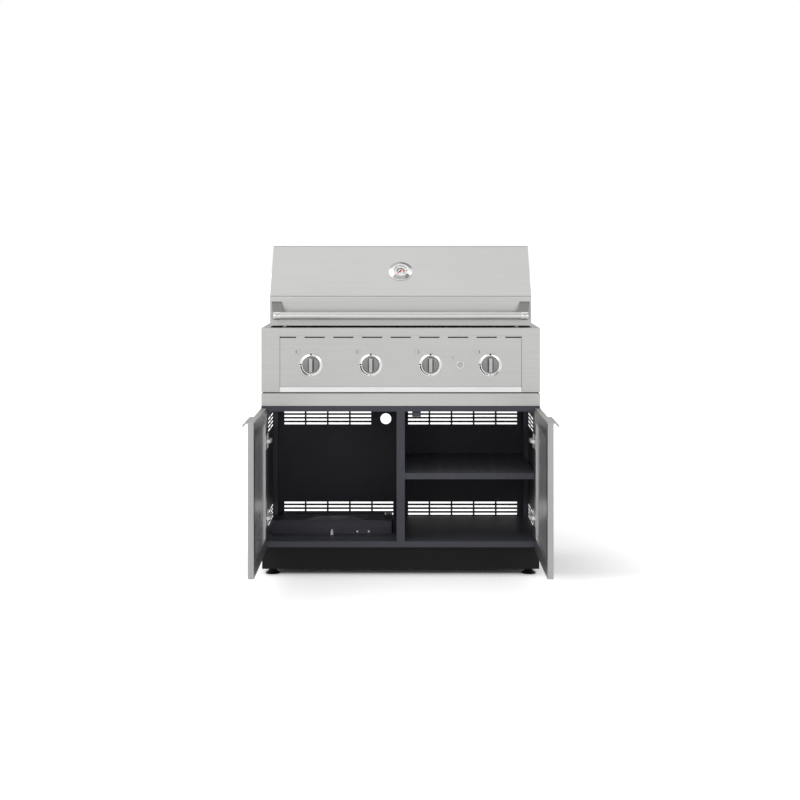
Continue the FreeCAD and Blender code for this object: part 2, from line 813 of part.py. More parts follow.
def hinge_cup(name, level):
    z = (f"{level} - cup_rise / 2", f"{level} + cup_rise / 2")
    shell = block(f"{name}_shell", door_x("0", "cup_deep"), door_y("cup_edge", "cup_long"), z)
    hollow = block(
        f"{name}_hollow",
        door_x("-1", "cup_deep - cup_wall"),
        door_y("-1", "cup_long - cup_wall"),
        (f"{level} - cup_rise / 2 + cup_wall", f"{level} + cup_rise / 2 - cup_wall"),
    )
    flange = block(
        f"{name}_flange",
        door_x("-1.5", "0"),
        door_y("4", "cup_long + 12"),
        (f"{level} - cup_rise / 2 - 12", f"{level} + cup_rise / 2 + 12"),
    )
    pin = rod(
        f"{name}_pin", "Z", "hinge_pin / 2", "cup_rise - cup_wall",
        f"-{PIVOT_X}", PIVOT_Y, f"{level} - cup_rise / 2 + cup_wall / 2",
    )
    opening = block(
        f"{name}_opening",
        door_x("-2", "1"),
        door_y("-1", "cup_long - cup_wall"),
        (f"{level} - cup_rise / 2 + cup_wall", f"{level} + cup_rise / 2 - cup_wall"),
    )
    return joined(name, [less(f"{name}_pan", joined(f"{name}_sheet", [shell, flange]), [hollow, opening]), pin])


def door_pull():
    """A strip on the door's top edge whose lip turns down in front of the door."""
    z = f"({Z_DOOR_TOP})"
    bends = [
        (f"-({FACE_X} + 3)", z),
        (f"-({FACE_X} + door_thick + pull_reach - 5)", z),
        (f"-({FACE_X} + door_thick + pull_reach - 1)", f"{z} - pull_drop / 2 + 2"),
        (f"-({FACE_X} + door_thick + pull_reach)", f"{z} - pull_drop"),
    ]
    y = door_y("door_width - pull_length - 2", "door_width - 2")
    return bent("door_pull", "XZ", bends, "pull_gauge", y[0], y[1])


for label, thing in (("skin", door_skin()), ("liner", door_liner()), ("pull", door_pull())):
    thing.Label = f"door_left_{label}"
    keep(thing, mirrored(f"door_right_{label}", thing))

cups = grouped("door_left_hinge_cups", [hinge_cup(f"cup_{n}", z) for n, z in enumerate(HINGE_LEVELS)])
keep(cups, mirrored("door_right_hinge_cups", cups))


# Hinge arms: plate and block on the front post, and a cranked neck to the knuckle on the pin.


def hinge_arm(name, level):
    face = f"-{POST_FACE}"
    plate = block(
        f"{name}_plate", (face, f"{face} + 3"), ("12", "50"), (f"{level} - 26", f"{level} + 26")
    )
    arm = block(
        f"{name}_block",
        (f"{face} + 3", f"{face} + 15"),
        ("3", "58"),
        (f"{level} - knuckle_rise / 2", f"{level} + knuckle_rise / 2"),
    )
    neck = new_body(f"{name}_neck")
    slab(
        neck,
        "XY",
        [
            (f"-{PIVOT_X}", f"{PIVOT_Y} - 3"),
            (f"{face} + 11", "-3.5"),
            (f"{face} + 15", "3"),
            (f"{face} + 5", "3"),
            (f"{face} + 4", "-1.5"),
            (f"-{PIVOT_X} - 2", f"{PIVOT_Y} + 3"),
        ],
        f"{level} - knuckle_rise / 2",
        f"{level} + knuckle_rise / 2",
    )
    knuckle = rod(
        f"{name}_knuckle", "Z", "knuckle / 2", "knuckle_rise",
        f"-{PIVOT_X}", PIVOT_Y, f"{level} - knuckle_rise / 2",
    )
    bore = rod(
        f"{name}_bore", "Z", "hinge_pin / 2 + pin_gap", "knuckle_rise + 2",
        f"-{PIVOT_X}", PIVOT_Y, f"{level} - knuckle_rise / 2 - 1",
    )
    return less(name, joined(f"{name}_solid", [plate, arm, neck, knuckle]), [bore])


arms = grouped("arms_left", [hinge_arm(f"arm_{n}", z) for n, z in enumerate(HINGE_LEVELS)])
keep(grouped("hinge_arms", [arms, mirrored("arms_right", arms)]))


# Tank tray: a folded tray on two slides, with a hole for the bottle's foot ring.

TRAY_LEFT = f"(-({POST_FACE} - slide_gap_outer - slide_width))"
TRAY_RIGHT = "(-(divider_width / 2 + slide_gap_inner + slide_width))"
TRAY_MIDDLE = f"(({TRAY_LEFT} + {TRAY_RIGHT}) / 2)"
TRAY_BACK = "(tray_setback + tray_depth)"
Z_TRAY = f"({Z_FLOOR} + tray_lift)"
Z_PLATE = f"({Z_FLOOR} + tray_plate)"


def tank_tray():
    bends = [
        ("tray_setback + 12", Z_TRAY),
        ("tray_setback", Z_TRAY),
        ("tray_setback", f"{Z_TRAY} + tray_rise - 14"),
        ("tray_setback + 12", f"{Z_TRAY} + tray_rise"),
        ("tray_setback + 14", f"{Z_TRAY} + tray_rise"),
        ("tray_setback + 14", Z_PLATE),
        (f"{TRAY_BACK} - gauge", Z_PLATE),
        (f"{TRAY_BACK} - gauge", f"{Z_PLATE} + tray_edge"),
    ]
    pan = bent("tray_pan", "YZ", bends, "gauge", TRAY_LEFT, TRAY_RIGHT)
    walls = []
    for name, x in (
        ("left", (TRAY_LEFT, f"{TRAY_LEFT} + gauge")),
        ("right", (f"{TRAY_RIGHT} - gauge", TRAY_RIGHT)),
    ):
        walls.append(
            block(f"tray_wall_{name}", x, ("tray_setback + 14", TRAY_BACK), (Z_TRAY, f"{Z_PLATE} + tray_edge"))
        )
    hood_bends = [
        ("tray_setback + hood_depth", f"{Z_TRAY} + tray_rise"),
        ("tray_setback", f"{Z_TRAY} + tray_rise"),
        ("tray_setback", Z_TRAY),
    ]
    for name, low, high in (
        ("left", f"{TRAY_LEFT} - slide_width", f"{TRAY_LEFT} + gauge"),
        ("right", f"{TRAY_RIGHT} - gauge", f"{TRAY_RIGHT} + slide_width"),
    ):
        walls.append(bent(f"tray_hood_{name}", "YZ", hood_bends, "gauge", low, high, -1))
    ring_hole = rod(
        "tray_hole", "Z", "tray_bore / 2", "10",
        TRAY_MIDDLE, "tray_setback + tray_depth / 2", f"{Z_PLATE} - 5",
    )
    return less("tank_tray", joined("tray_sheet", [pan] + walls), [ring_hole])


def slide_rail(name, sign):
    """The fixed channel: its groove faces the tray."""
    edge = TRAY_RIGHT if sign > 0 else TRAY_LEFT
    near = f"({edge} + {sign} * running_gap)"
    far = f"({edge} + {sign} * slide_width)"
    groove = f"({near} + {sign} * slide_groove)"
    x = (near, far) if sign > 0 else (far, near)
    groove_x = (f"{near} - 1", groove) if sign > 0 else (groove, f"{near} + 1")
    y = ("tray_setback + 12", f"{BACK_INNER} - 1")
    middle = f"({Z_FLOOR} + slide_rise / 2)"
    web = block(f"{name}_web", x, y, (Z_FLOOR, f"{Z_FLOOR} + slide_rise"))
    slot = block(
        f"{name}_groove", groove_x, ("tray_setback", BACK_INNER),
        (f"{middle} - slide_bar / 2", f"{middle} + slide_bar / 2"),
    )
    light = block(
        f"{name}_hollow",
        (f"{groove} + 2", f"{far} - 2") if sign > 0 else (f"{far} + 2", f"{groove} - 2"),
        ("tray_setback", BACK_INNER),
        (f"{Z_FLOOR} + 2", f"{Z_FLOOR} + slide_rise - 2"),
    )
    return less(name, web, [slot, light])


def slide_bar(name, sign):
    """The moving bar on the tray's side wall, running in the groove."""
    edge = TRAY_RIGHT if sign > 0 else TRAY_LEFT
    tip = f"({edge} + {sign} * (slide_groove - running_gap))"
    x = (edge, tip) if sign > 0 else (tip, edge)
    middle = f"({Z_FLOOR} + slide_rise / 2)"
    z = (
        f"{middle} - slide_bar / 2 + running_gap",
        f"{middle} + slide_bar / 2 - running_gap",
    )
    return block(name, x, ("tray_setback + 20", f"{BACK_INNER} - 20"), z)


def tray_screw():
    """The thumb screw in its lug at the tray's front, which holds the bottle's foot ring."""
    front = "tray_setback"
    y = (f"{front} - 16", front)
    lug_x = (f"{TRAY_MIDDLE} - 5", f"{TRAY_MIDDLE} + 5")
    lug = block("thumb_lug", lug_x, y, (Z_TRAY, f"{Z_TRAY} + 2"))
    screw = rod("thumb_screw", "Z", "3", "18", TRAY_MIDDLE, f"{front} - 8", f"{Z_TRAY} + 2")
    wings = block(
        "thumb_wings",
        (f"{TRAY_MIDDLE} - 4.5", f"{TRAY_MIDDLE} + 4.5"),
        (f"{front} - 9.5", f"{front} - 6.5"),
        (f"{Z_TRAY} + 4", f"{Z_TRAY} + 13"),
    )
    return joined("tray_thumb_screw", [lug, screw, wings])


keep(
    tank_tray(),
    grouped("tray_slide_rails", [slide_rail("rail_inner", 1), slide_rail("rail_outer", -1)]),
    grouped("tray_slide_bars", [slide_bar("bar_inner", 1), slide_bar("bar_outer", -1)]),
    tray_screw(),
)


# Stainless fascia: a folded ring that trims the top of the cabinet.


def base_fascia():
    body = new_body("base_fascia")

    def ring(gap):
        return corners((f"-({HALF} - {gap})", f"{HALF} - {gap}"), (gap, f"cab_depth - ({gap})"))

    slab(body, "XY", ring("0"), Z_CABINET, Z_FASCIA)
    carve(body, "XY", ring("30"), f"{Z_CABINET} - 1", f"{Z_FASCIA} + 1")
    carve(body, "XY", ring("head_gauge"), f"{Z_CABINET} + head_gauge", f"{Z_FASCIA} - head_gauge")
    return body


keep(base_fascia())


# Grill housing: pillars, front flange and sides folded in one, with a deck of four strips welded
# on round the firebox's mouth. The gas supply pipe runs inside its right side, from the cheek to
# a window in the back, which is a plain sheet and an inlet plate beside it.

VALVE_HALF = "13"
Z_MANIFOLD = f"({Z_KNOB} - {VALVE_HALF})"
PIPE_X = f"({HALF} - pipe_inset)"
PIPE_Y = "(valve_setback + 14 + manifold / 2)"
Z_PIPE = f"({Z_MANIFOLD} - manifold / 2)"
DECK = (f"{Z_DECK} - head_gauge", Z_DECK)
REAR = ("cab_depth - head_gauge", "cab_depth")


def housing_shell():
    body = new_body("housing_shell")
    wall = "head_gauge"

    def ring(gap):
        return corners((f"-({HALF} - {gap})", f"{HALF} - {gap}"), (gap, f"cab_depth - ({gap})"))

    outside = corners((f"-{HALF}", HALF), ("0", REAR[0]))
    inside = corners((f"-({HALF} - {wall})", f"{HALF} - {wall}"), (wall, REAR[1]))
    slab(body, "XY", outside, Z_HEAD, DECK[0])
    carve(body, "XY", inside, f"{Z_HEAD} + {wall}", f"{Z_DECK} + 1")
    carve(body, "XY", ring("24"), f"{Z_HEAD} - 1", f"{Z_HEAD} + {wall} + 1")
    slab(body, "XY", ring("shadow_inset"), Z_FASCIA, Z_HEAD)
    carve(body, "XY", ring("24"), f"{Z_FASCIA} - 1", f"{Z_HEAD} + 1")
    window = corners((f"-{PANEL_HALF}", PANEL_HALF), (Z_HEAD, Z_FLANGE))
    carve(body, "XZ", window, "-1", "30")
    for side in (-1, 1):
        inner = f"{side} * {PANEL_HALF}"
        outer = f"{side} * ({PANEL_HALF} + {wall})"
        cheek = (outer, inner) if side < 0 else (inner, outer)
        slab(body, "XY", corners(cheek, (wall, "cheek_depth")), f"{Z_HEAD} + {wall}", Z_FLANGE)
    cheek = (f"{PANEL_HALF} - 1", f"{PANEL_HALF} + {wall} + 1")
    drill(body, "YZ", PIPE_Y, Z_PIPE, "pipe_bore + 2 * slack", *cheek)
    return body


def deck_strips():
    mouth = "(fire_width / 2 + slack)"
    front = "fire_front - slack"
    back = f"{FIRE_BACK} + slack"
    return [
        block("deck_left", (f"-{HALF}", f"-{mouth}"), ("0", "cab_depth"), DECK),
        block("deck_right", (mouth, HALF), ("0", "cab_depth"), DECK),
        block("deck_front", (f"-{mouth}", mouth), ("0", front), DECK),
        block("deck_back", (f"-{mouth}", mouth), (back, "cab_depth"), DECK),
    ]


def housing_back():
    """The back sheet, and the inlet plate with the window that the gas pipe ends behind."""
    rise = (Z_HEAD, DECK[0])
    seam = f"{HALF} - inlet_plate"
    sheet = block("back_sheet", (f"-{HALF}", seam), REAR, rise)
    plate = block("inlet_sheet", (seam, HALF), REAR, rise)
    window = rod("inlet_hole", "Y", "inlet_window / 2", "head_gauge + 2", PIPE_X, f"{REAR[0]} - 1", Z_PIPE)
    return grouped("housing_back", [sheet, less("inlet_plate_bored", plate, [window])])


keep(grouped("grill_housing", [housing_shell(), *deck_strips()]), housing_back())


# Control panel: an insert between the pillars, with vent slots, spindle holes and the switch hole.

KNOB_PITCH = f"((2 * {PANEL_HALF} - 2 * knob_inset) / 3)"
KNOB_X = [f"({n} * {KNOB_PITCH})" for n in (-1.5, -0.5, 0.5, 1.5)]
VENT_PITCH = f"((2 * {PANEL_HALF} - 2 * vent_inset) / (vent_count - 1))"


def control_panel():
    body = new_body("control_panel")
    edge = f"({PANEL_HALF} - running_gap)"
    wall = "head_gauge"
    low, high = f"({Z_PANEL} + running_gap)", f"({Z_FLANGE} - running_gap)"
    slab(body, "XZ", corners((f"-{edge}", edge), (low, high)), "0", "16")
    inner = corners((f"-({edge} - {wall})", f"{edge} - {wall}"), (f"{low} + {wall}", f"{high} - {wall}"))
    carve(body, "XZ", inner, wall, "17")
    end = f"{PANEL_HALF} - vent_inset"
    vent = corners(
        (f"-({end}) - vent_length / 2", f"-({end}) + vent_length / 2"),
        (f"{high} - 3 - vent_rise", f"{high} - 3"),
    )
    first = carve(body, "XZ", vent, "-1", f"{wall} + 1")
    repeat(body, [first], "X", VENT_PITCH, "vent_count")
    window = corners(
        (f"{KNOB_X[0]} - spindle_width", f"{KNOB_X[0]} + spindle_width"),
        (f"{Z_KNOB} - spindle_width", f"{Z_KNOB} + spindle_width"),
    )
    hole = carve(body, "XZ", window, "-1", f"{wall} + 1")
    repeat(body, [hole], "X", KNOB_PITCH, "4")
    drill(body, "XZ", "switch_offset", Z_KNOB, "button_bore + 2 * running_gap", "-1", f"{wall} + 1")
    return body


keep(control_panel())


# Knob bezels: four dished rings on the panel.

BEZEL_OUTLINE = [
    ("knob_bore / 2 + 1.5", "0"),
    ("bezel_bore / 2", "0"),
    ("bezel_bore / 2", "bezel_depth / 3"),
    ("knob_bore / 2 + 3", "bezel_depth"),
    ("knob_bore / 2 + 1.5", "bezel_depth"),
]
bezels = turned("knob_rings", BEZEL_OUTLINE, KNOB_X[0], "0", Z_KNOB, "front")
repeat(bezels, [bezels.Tip], "X", KNOB_PITCH, "4")


# Valve spindles and knobs. The spindle turns in the valve, and the knob presses in along it.

KNOB_BACK = "(push_travel + 1)"
KNOB_FACE = f"({KNOB_BACK} + knob_depth)"


def square(x, z, half):
    return corners((f"{x} - ({half})", f"{x} + {half}"), (f"{z} - ({half})", f"{z} + {half}"))


def spindle(number, x):
    """A square stem, so that the knob turns it."""
    body = new_body(f"valve_spindle_{number}")
    slab(body, "XZ", square(x, Z_KNOB, "spindle_width / 2"), "-spindle_reach", "valve_setback")
    return body


def knob(number, x):
    """A skirt with a grip bar across its face, and a square socket for the stem."""
    radius = "knob_bore / 2"
    outline = [
        ("0", KNOB_BACK),
        (radius, KNOB_BACK),
        (f"{radius} - 1.5", KNOB_FACE),
        ("0", KNOB_FACE),
    ]
    body = turned(f"burner_knob_{number}", outline, x, "0", Z_KNOB, "front")
    half, end = "grip_width / 2", f"({radius} - 3)"
    grip = [
        (f"-{half}", f"-({end} - 4)"),
        (f"-{half} + 3", f"-{end}"),
        (f"{half} - 3", f"-{end}"),
        (half, f"-({end} - 4)"),
        (half, f"{end} - 4"),
        (f"{half} - 3", end),
        (f"-{half} + 3", end),
        (f"-{half}", f"{end} - 4"),
    ]
    slab(body, "XY", grip, f"{KNOB_FACE} - 0.5", f"{KNOB_FACE} + knob_grip")
    socket = square("0", "0", "spindle_width / 2 + pin_gap")
    carve(body, "XY", socket, f"{KNOB_BACK} - 1", "spindle_reach + push_travel + 1")
    return body


for number, x in enumerate(KNOB_X, 1):
    keep(spindle(number, x), knob(number, x))


# Light switch: bezel ring and push button.

SWITCH_OUTLINE = [
    ("button_bore / 2 + running_gap", "0"),
    ("switch_bore / 2", "0"),
    ("switch_bore / 2 - 1", "switch_rise"),
    ("button_bore / 2 + running_gap", "switch_rise"),
]
BUTTON_FACE = "(switch_rise + button_travel)"
BUTTON_OUTLINE = [
    ("0", "-12"),
    ("button_bore / 2", "-12"),
    ("button_bore / 2", BUTTON_FACE),
    ("0", BUTTON_FACE),
]
keep(
    grouped(
        "panel_bezels",
        [bezels, turned("switch_ring", SWITCH_OUTLINE, "switch_offset", "0", Z_KNOB, "front")],
    ),
    turned("light_button", BUTTON_OUTLINE, "switch_offset", "0", Z_KNOB, "front"),
)


# Gas manifold: a square tube between the cheeks of the pillars, which the valves stand on. An
# elbow at its right end turns it into the supply pipe, which ends in the gas inlet at the back.

MANIFOLD_Y = ("(valve_setback + 14)", "(valve_setback + 14 + manifold)")
INLET_END = "(cab_depth - head_gauge - inlet_sunk)"
COLLAR = "10"


def gas_manifold():
    tube = block(
        "manifold_tube", (f"-{PANEL_HALF}", PANEL_HALF), MANIFOLD_Y,
        (f"{Z_MANIFOLD} - manifold", Z_MANIFOLD),
    )
    reach = f"{PIPE_X} - {PANEL_HALF} + 2"
    outlet = rod("pipe_outlet", "X", "pipe_bore / 2", reach, f"{PANEL_HALF} - 2", PIPE_Y, Z_PIPE)
    half = "pipe_elbow / 2"
    elbow = block(
        "pipe_corner",
        (f"{PIPE_X} - {half}", f"{PIPE_X} + {half}"),
        (f"{PIPE_Y} - {half}", f"{PIPE_Y} + {half}"),
        (f"{Z_PIPE} - {half}", f"{Z_PIPE} + {half}"),
    )
    seat = f"({INLET_END} - inlet_length)"
    run = rod("supply_pipe", "Y", "pipe_bore / 2", f"{seat} - {PIPE_Y}", PIPE_X, PIPE_Y, Z_PIPE)
    collar = rod("inlet_collar", "Y", "inlet_bore / 2 + 4", COLLAR, PIPE_X, f"{seat} - {COLLAR}", Z_PIPE)
    stub = rod("inlet_stub", "Y", "inlet_bore / 2", "inlet_length", PIPE_X, seat, Z_PIPE)
    bore = rod("inlet_hole", "Y", "inlet_bore / 2 - 3.5", "inlet_length", PIPE_X, f"{seat} + 2", Z_PIPE)
    return less("gas_manifold", joined("manifold_solid", [tube, outlet, elbow, run, collar, stub]), [bore])


def gas_valve(number, x):
    """A cast body on the manifold with a hexagonal burner nozzle behind."""
    body = new_body(f"valve_{number}")
    half = VALVE_HALF
    back = "(valve_setback + valve_length)"
    outline = corners((f"{x} - {half}", f"{x} + {half}"), (f"{Z_KNOB} - {half}", f"{Z_KNOB} + {half}"))
    slab(body, "XZ", outline, "valve_setback", back)
    hexagon = [
        (f"{x} - 7", Z_KNOB),
        (f"{x} - 3.5", f"{Z_KNOB} - 6"),
        (f"{x} + 3.5", f"{Z_KNOB} - 6"),
        (f"{x} + 7", Z_KNOB),
        (f"{x} + 3.5", f"{Z_KNOB} + 6"),
        (f"{x} - 3.5", f"{Z_KNOB} + 6"),
    ]
    slab(body, "XZ", hexagon, back, f"fire_front - burner_reach - {GAP}")
    return body


keep(gas_manifold(), grouped("gas_valves", [gas_valve(n, x) for n, x in enumerate(KNOB_X)]))


# Firebox: an open-topped box hung in the deck by its rim, with sloping floor sides.

Z_FIRE = f"({Z_DECK} - fire_drop)"
FIRE_HALF = "(fire_width / 2)"


def firebox():
    body = new_body("firebox")
    knee = f"({Z_FIRE} + fire_knee)"

    def section(wall):
        return [
            (f"fire_front + {wall}", f"{Z_DECK} + fire_wall"),
            (f"fire_front + {wall}", knee),
            (f"fire_front + fire_slope + {wall}", Z_FIRE),
            (f"{FIRE_BACK} - fire_slope - {wall}", Z_FIRE),
            (f"{FIRE_BACK} - {wall}", knee),
            (f"{FIRE_BACK} - {wall}", f"{Z_DECK} + fire_wall"),
        ]

    slab(body, "YZ", section("0"), f"-{FIRE_HALF}", FIRE_HALF)
    rim = corners(
        (f"-({FIRE_HALF} + fire_rim)", f"{FIRE_HALF} + fire_rim"),
        ("fire_front - fire_rim", f"{FIRE_BACK} + fire_rim"),
    )
    slab(body, "XY", rim, Z_DECK, f"{Z_DECK} + fire_wall")
    inner = section("fire_wall")
    inner[0] = (inner[0][0], f"{Z_DECK} + fire_wall + 1")
    inner[-1] = (inner[-1][0], f"{Z_DECK} + fire_wall + 1")
    inner[2] = (inner[2][0], f"{Z_FIRE} - 1")
    inner[3] = (inner[3][0], f"{Z_FIRE} - 1")
    carve(body, "YZ", inner, f"-({FIRE_HALF} - fire_wall)", f"{FIRE_HALF} - fire_wall")
    around = "(burner_bore / 2 + running_gap)"
    window = corners(
        (f"{KNOB_X[0]} - {around}", f"{KNOB_X[0]} + {around}"),
        (f"{Z_KNOB} - {around}", f"{Z_KNOB} + {around}"),
    )
    hole = carve(body, "XZ", window, "fire_front - 1", "fire_front + fire_wall + 1")
    repeat(body, [hole], "X", KNOB_PITCH, "4")
    return body


def firebox_ledges():
    """Strips spot-welded to the front and back walls, for the flame tamers and the grates."""
    inside = f"{FIRE_HALF} - fire_wall"
    strips = []
    for level, top in (
        ("low", f"({Z_KNOB} + tamer_level)"),
        ("high", f"({Z_GRATE} - grate_rise - 4)"),
    ):
        for end, y in (
            ("front", ("fire_front + fire_wall", "fire_front + fire_wall + 12")),
            ("back", (f"{FIRE_BACK} - fire_wall - 12", f"{FIRE_BACK} - fire_wall")),
        ):
            name = f"ledge_{level}_{end}"
            strips.append(block(name, (f"-({inside})", inside), y, (f"{top} - fire_wall", top)))
    return grouped("firebox_ledges", strips)


keep(firebox(), firebox_ledges())


# Burners: a stainless tube for each valve, from just behind its nozzle to the firebox's back wall.


def burners():
    tubes = []
    for n, x in enumerate(KNOB_X):
        y = "(fire_front - burner_reach)"
        length = f"{FIRE_BACK} - fire_wall - {y}"
        tubes.append(rod(f"burner_{n}", "Y", "burner_bore / 2", length, x, y, Z_KNOB))
    return grouped("burners", tubes)


keep(burners())


# Flame tamers: a folded roof over each burner, standing on the firebox's front and back walls.


def flame_tamers():
    foot = f"({Z_KNOB} + tamer_level)"
    roofs = []
    for n, x in enumerate(KNOB_X):
        bends = [
            (f"{x} - tamer_width / 2", foot),
            (f"{x} - tamer_width / 2 + 6", foot),
            (f"{x} - 8", f"{foot} + tamer_rise"),
            (f"{x} + 8", f"{foot} + tamer_rise"),
            (f"{x} + tamer_width / 2 - 6", foot),
            (f"{x} + tamer_width / 2", foot),
        ]
        roofs.append(
            bent(
                f"tamer_{n}", "XZ", bends, "fire_wall",
                "fire_front + fire_wall + running_gap", f"{FIRE_BACK} - fire_wall - running_gap", -1,
            )
        )
    return grouped("flame_tamers", roofs)


keep(flame_tamers())


# Cooking grates: castings with bars from front to back, side by side on the firebox ledges.



def grate(number):
    """One casting: a plate with long slots from front to back, beside the others."""
    inside = "(fire_width - 2 * fire_wall - 2 * slack)"
    width = f"({inside} / grate_count - slack)"
    left = f"(-{inside} / 2 + slack / 2 + {number} * {inside} / grate_count)"
    pitch = f"(({width} - grate_bar) / (grate_bars - 1))"
    y = ("fire_front + fire_wall + slack", f"{FIRE_BACK} - fire_wall - slack")
    body = new_body(f"grate_{number}")
    low = f"({Z_GRATE} - grate_rise - 4)"
    slab(body, "XY", corners((left, f"{left} + {width}"), y), low, Z_GRATE)
    opening = corners(
        (f"{left} + grate_bar", f"{left} + {pitch}"),
        (f"{y[0]} + 14", f"{y[1]} - 14"),
    )
    first = carve(body, "XY", opening, f"{low} - 1", f"{Z_GRATE} + 1")
    repeat(body, [first], "X", pitch, "grate_bars - 1")
    return body


keep(grouped("cooking_grates", [grate(n) for n in range(int(value("grate_count")))]))


# Warming rack: rods between two end frames of flat bar that stand on the firebox rim.


def warming_rack():
    level = f"({Z_DECK} + rack_level)"
    near = f"({FIRE_HALF} + 3)"
    far = f"({FIRE_HALF} + 7)"
    pieces = []
    for n in range(int(value("rack_rods"))):
        y = f"rack_front + 8 + {n} * (rack_depth - 16) / (rack_rods - 1)"
        pieces.append(rod(f"rack_rod_{n}", "X", "2.5", f"2 * ({FIRE_HALF} + 5)", f"-({FIRE_HALF} + 5)", y, level))
    for name, x in (("left", (f"-{far}", f"-{near}")), ("right", (near, far))):
        y = ("rack_front", "rack_front + rack_depth")
        pieces.append(block(f"rack_end_{name}", x, y, (f"{level} - 6", f"{level} + 6")))
        for end, low in (("front", "rack_front"), ("rear", "rack_front + rack_depth - 10")):
            leg = (f"{Z_DECK} + fire_wall", f"{level} - 6")
            pieces.append(block(f"rack_leg_{end}_{name}", x, (low, f"{low} + 10"), leg))
    return joined("warming_rack", pieces)


keep(warming_rack())


# Grease tray: a shallow pan under the whole firebox, drawn out by its sloping front lip.

PAN_HALF = f"({PANEL_HALF} - 16)"
Z_PAN = f"({Z_HEAD} + 1.5)"
Z_PAN_TOP = f"({Z_PANEL} - 1.5)"
PAN_BACK = "(fire_front + fire_depth)"


def grease_tray():
    body = new_body("grease_tray")
    wall = "head_gauge"
    plan = corners((f"-{PAN_HALF}", PAN_HALF), ("6", PAN_BACK))
    slab(body, "XY", plan, Z_PAN, Z_PAN_TOP)
    inner = corners(
        (f"-({PAN_HALF} - {wall})", f"{PAN_HALF} - {wall}"), (f"6 + {wall}", f"{PAN_BACK} - {wall}")
    )
    carve(body, "XY", inner, f"{Z_PAN} + {wall}", f"{Z_PAN_TOP} + 1")
    edge = f"({PANEL_HALF} - slack)"
    for x in (
        (f"-({PAN_HALF} + 12)", f"-({PAN_HALF} - {wall})"),
        (f"{PAN_HALF} - {wall}", f"{PAN_HALF} + 12"),
    ):
        slab(body, "XY", corners(x, ("7", PAN_BACK)), f"{Z_PAN_TOP} - {wall}", Z_PAN_TOP)
    front = f"6 + {wall}"
    lip = [
        (front, Z_PAN),
        ("-lip_lean", f"{Z_HEAD} + 0.7"),
        ("0", f"{Z_PANEL} - 0.5"),
        (f"{wall} + 0.2", f"{Z_PANEL} - 0.5"),
        (f"{wall} + 0.7 - lip_lean", f"{Z_HEAD} + 2.2"),
        (front, f"{Z_PAN} + {wall}"),
    ]
    slab(body, "YZ", lip, f"-{edge}", edge)
    return body


def grease_rail(name, sign):
    """A shelf bracket from the housing side to under the pan's flange."""
    near = f"({sign} * ({PAN_HALF} + 1))"
    far = f"({sign} * ({HALF} - head_gauge))"
    x = (near, far) if sign > 0 else (far, near)
    top = f"({Z_PAN_TOP} - head_gauge - running_gap)"
    y = ("cheek_depth + slack", PAN_BACK)
    shelf = block(f"{name}_shelf", x, y, (f"{top} - 1.5", top))
    post = f"({sign} * ({HALF} - head_gauge - 1.5))"
    up = (post, far) if sign > 0 else (far, post)
    leg = block(f"{name}_leg", up, y, (f"{top} - 1.5", f"{top} + 20"))
    return joined(name, [shelf, leg])


keep(
    grease_tray(),
    grouped("grease_tray_rails", [grease_rail("grease_rail_right", 1), grease_rail("grease_rail_left", -1)]),
)


# Lid: a folded hood, rounded along its bends and open below, on two pins.

Z_KNEE = f"({Z_LID} + lid_apron)"
Z_TOP = f"({Z_KNEE} + lid_slope_rise)"
TOP_FRONT = "(lid_front + lid_run)"
TOP_BACK = "(lid_front + lid_run + lid_top)"
LID_HALF = "(lid_width / 2)"


def lid_shell():
    body = new_body("lid_shell")
    profile = [
        ("lid_front", Z_LID),
        ("lid_front", Z_KNEE),
        (TOP_FRONT, Z_TOP),
        (TOP_BACK, Z_TOP),
        ("lid_back", f"{Z_TOP} - lid_back_drop"),
        ("lid_back", Z_LID),
    ]
    hood = slab(body, "YZ", profile, f"-{LID_HALF}", LID_HALF)
    doc.recompute()
    low = hood.Shape.BoundBox.ZMin
    bends = edges_along(hood.Shape, "X", lambda centre: centre.z > low + 1)
    fillet = rounded(body, hood, bends, "lid_round")
    doc.recompute()
    mouth = [
        f"Face{n}" for n, face in enumerate(fillet.Shape.Faces, 1) if face.BoundBox.ZMax < low + 0.01
    ]
    shell = body.newObject("PartDesign::Thickness", "lid_wall")
    shell.Base = (fillet, mouth)
    shell.Reversed = True
    shell.Join = 1
    bind(shell, "Value", "lid_wall")
    body.Tip = shell
    hem = corners((f"-({LID_HALF} - lid_wall)", f"{LID_HALF} - lid_wall"), ("lid_front + lid_wall / 2", "lid_front + 16"))
    slab(body, "XY", hem, Z_LID, f"{Z_LID} + lid_wall")
    return body


keep(lid_shell())


# Lid liner: the inner skin, a folded sheet inside the hood.


def lid_liner():
    gap = "liner_gap"
    bends = [
        ("lid_front + lid_wall", f"{Z_LID} + 4"),
        (f"lid_front + {gap}", f"{Z_LID} + 4"),
        (f"lid_front + {gap}", f"{Z_KNEE} - 6"),
        (f"{TOP_FRONT} + 6", f"{Z_TOP} - {gap}"),
        (f"{TOP_BACK} - 6", f"{Z_TOP} - {gap}"),
        (f"lid_back - {gap}", f"{Z_TOP} - lid_back_drop - 6"),
        (f"lid_back - {gap}", f"{Z_LID} + 20"),
        ("lid_back - lid_wall", f"{Z_LID} + 20"),
    ]
    edge = f"({LID_HALF} - liner_side)"
    return bent("lid_liner", "YZ", bends, "1", f"-{edge}", edge)


def lid_lamps():
    """Two lamp housings on the underside of the liner's top."""
    y = (f"{TOP_FRONT} + lid_top / 2 - 30", f"{TOP_FRONT} + lid_top / 2 + 30")
    z = (f"{Z_TOP} - liner_gap - 1 - 12", f"{Z_TOP} - liner_gap - 1")
    right = block("lamp_right", ("180", "260"), y, z)
    return grouped("lid_lamps", [right, mirrored("lamp_left", right)])


keep(lid_liner(), lid_lamps())


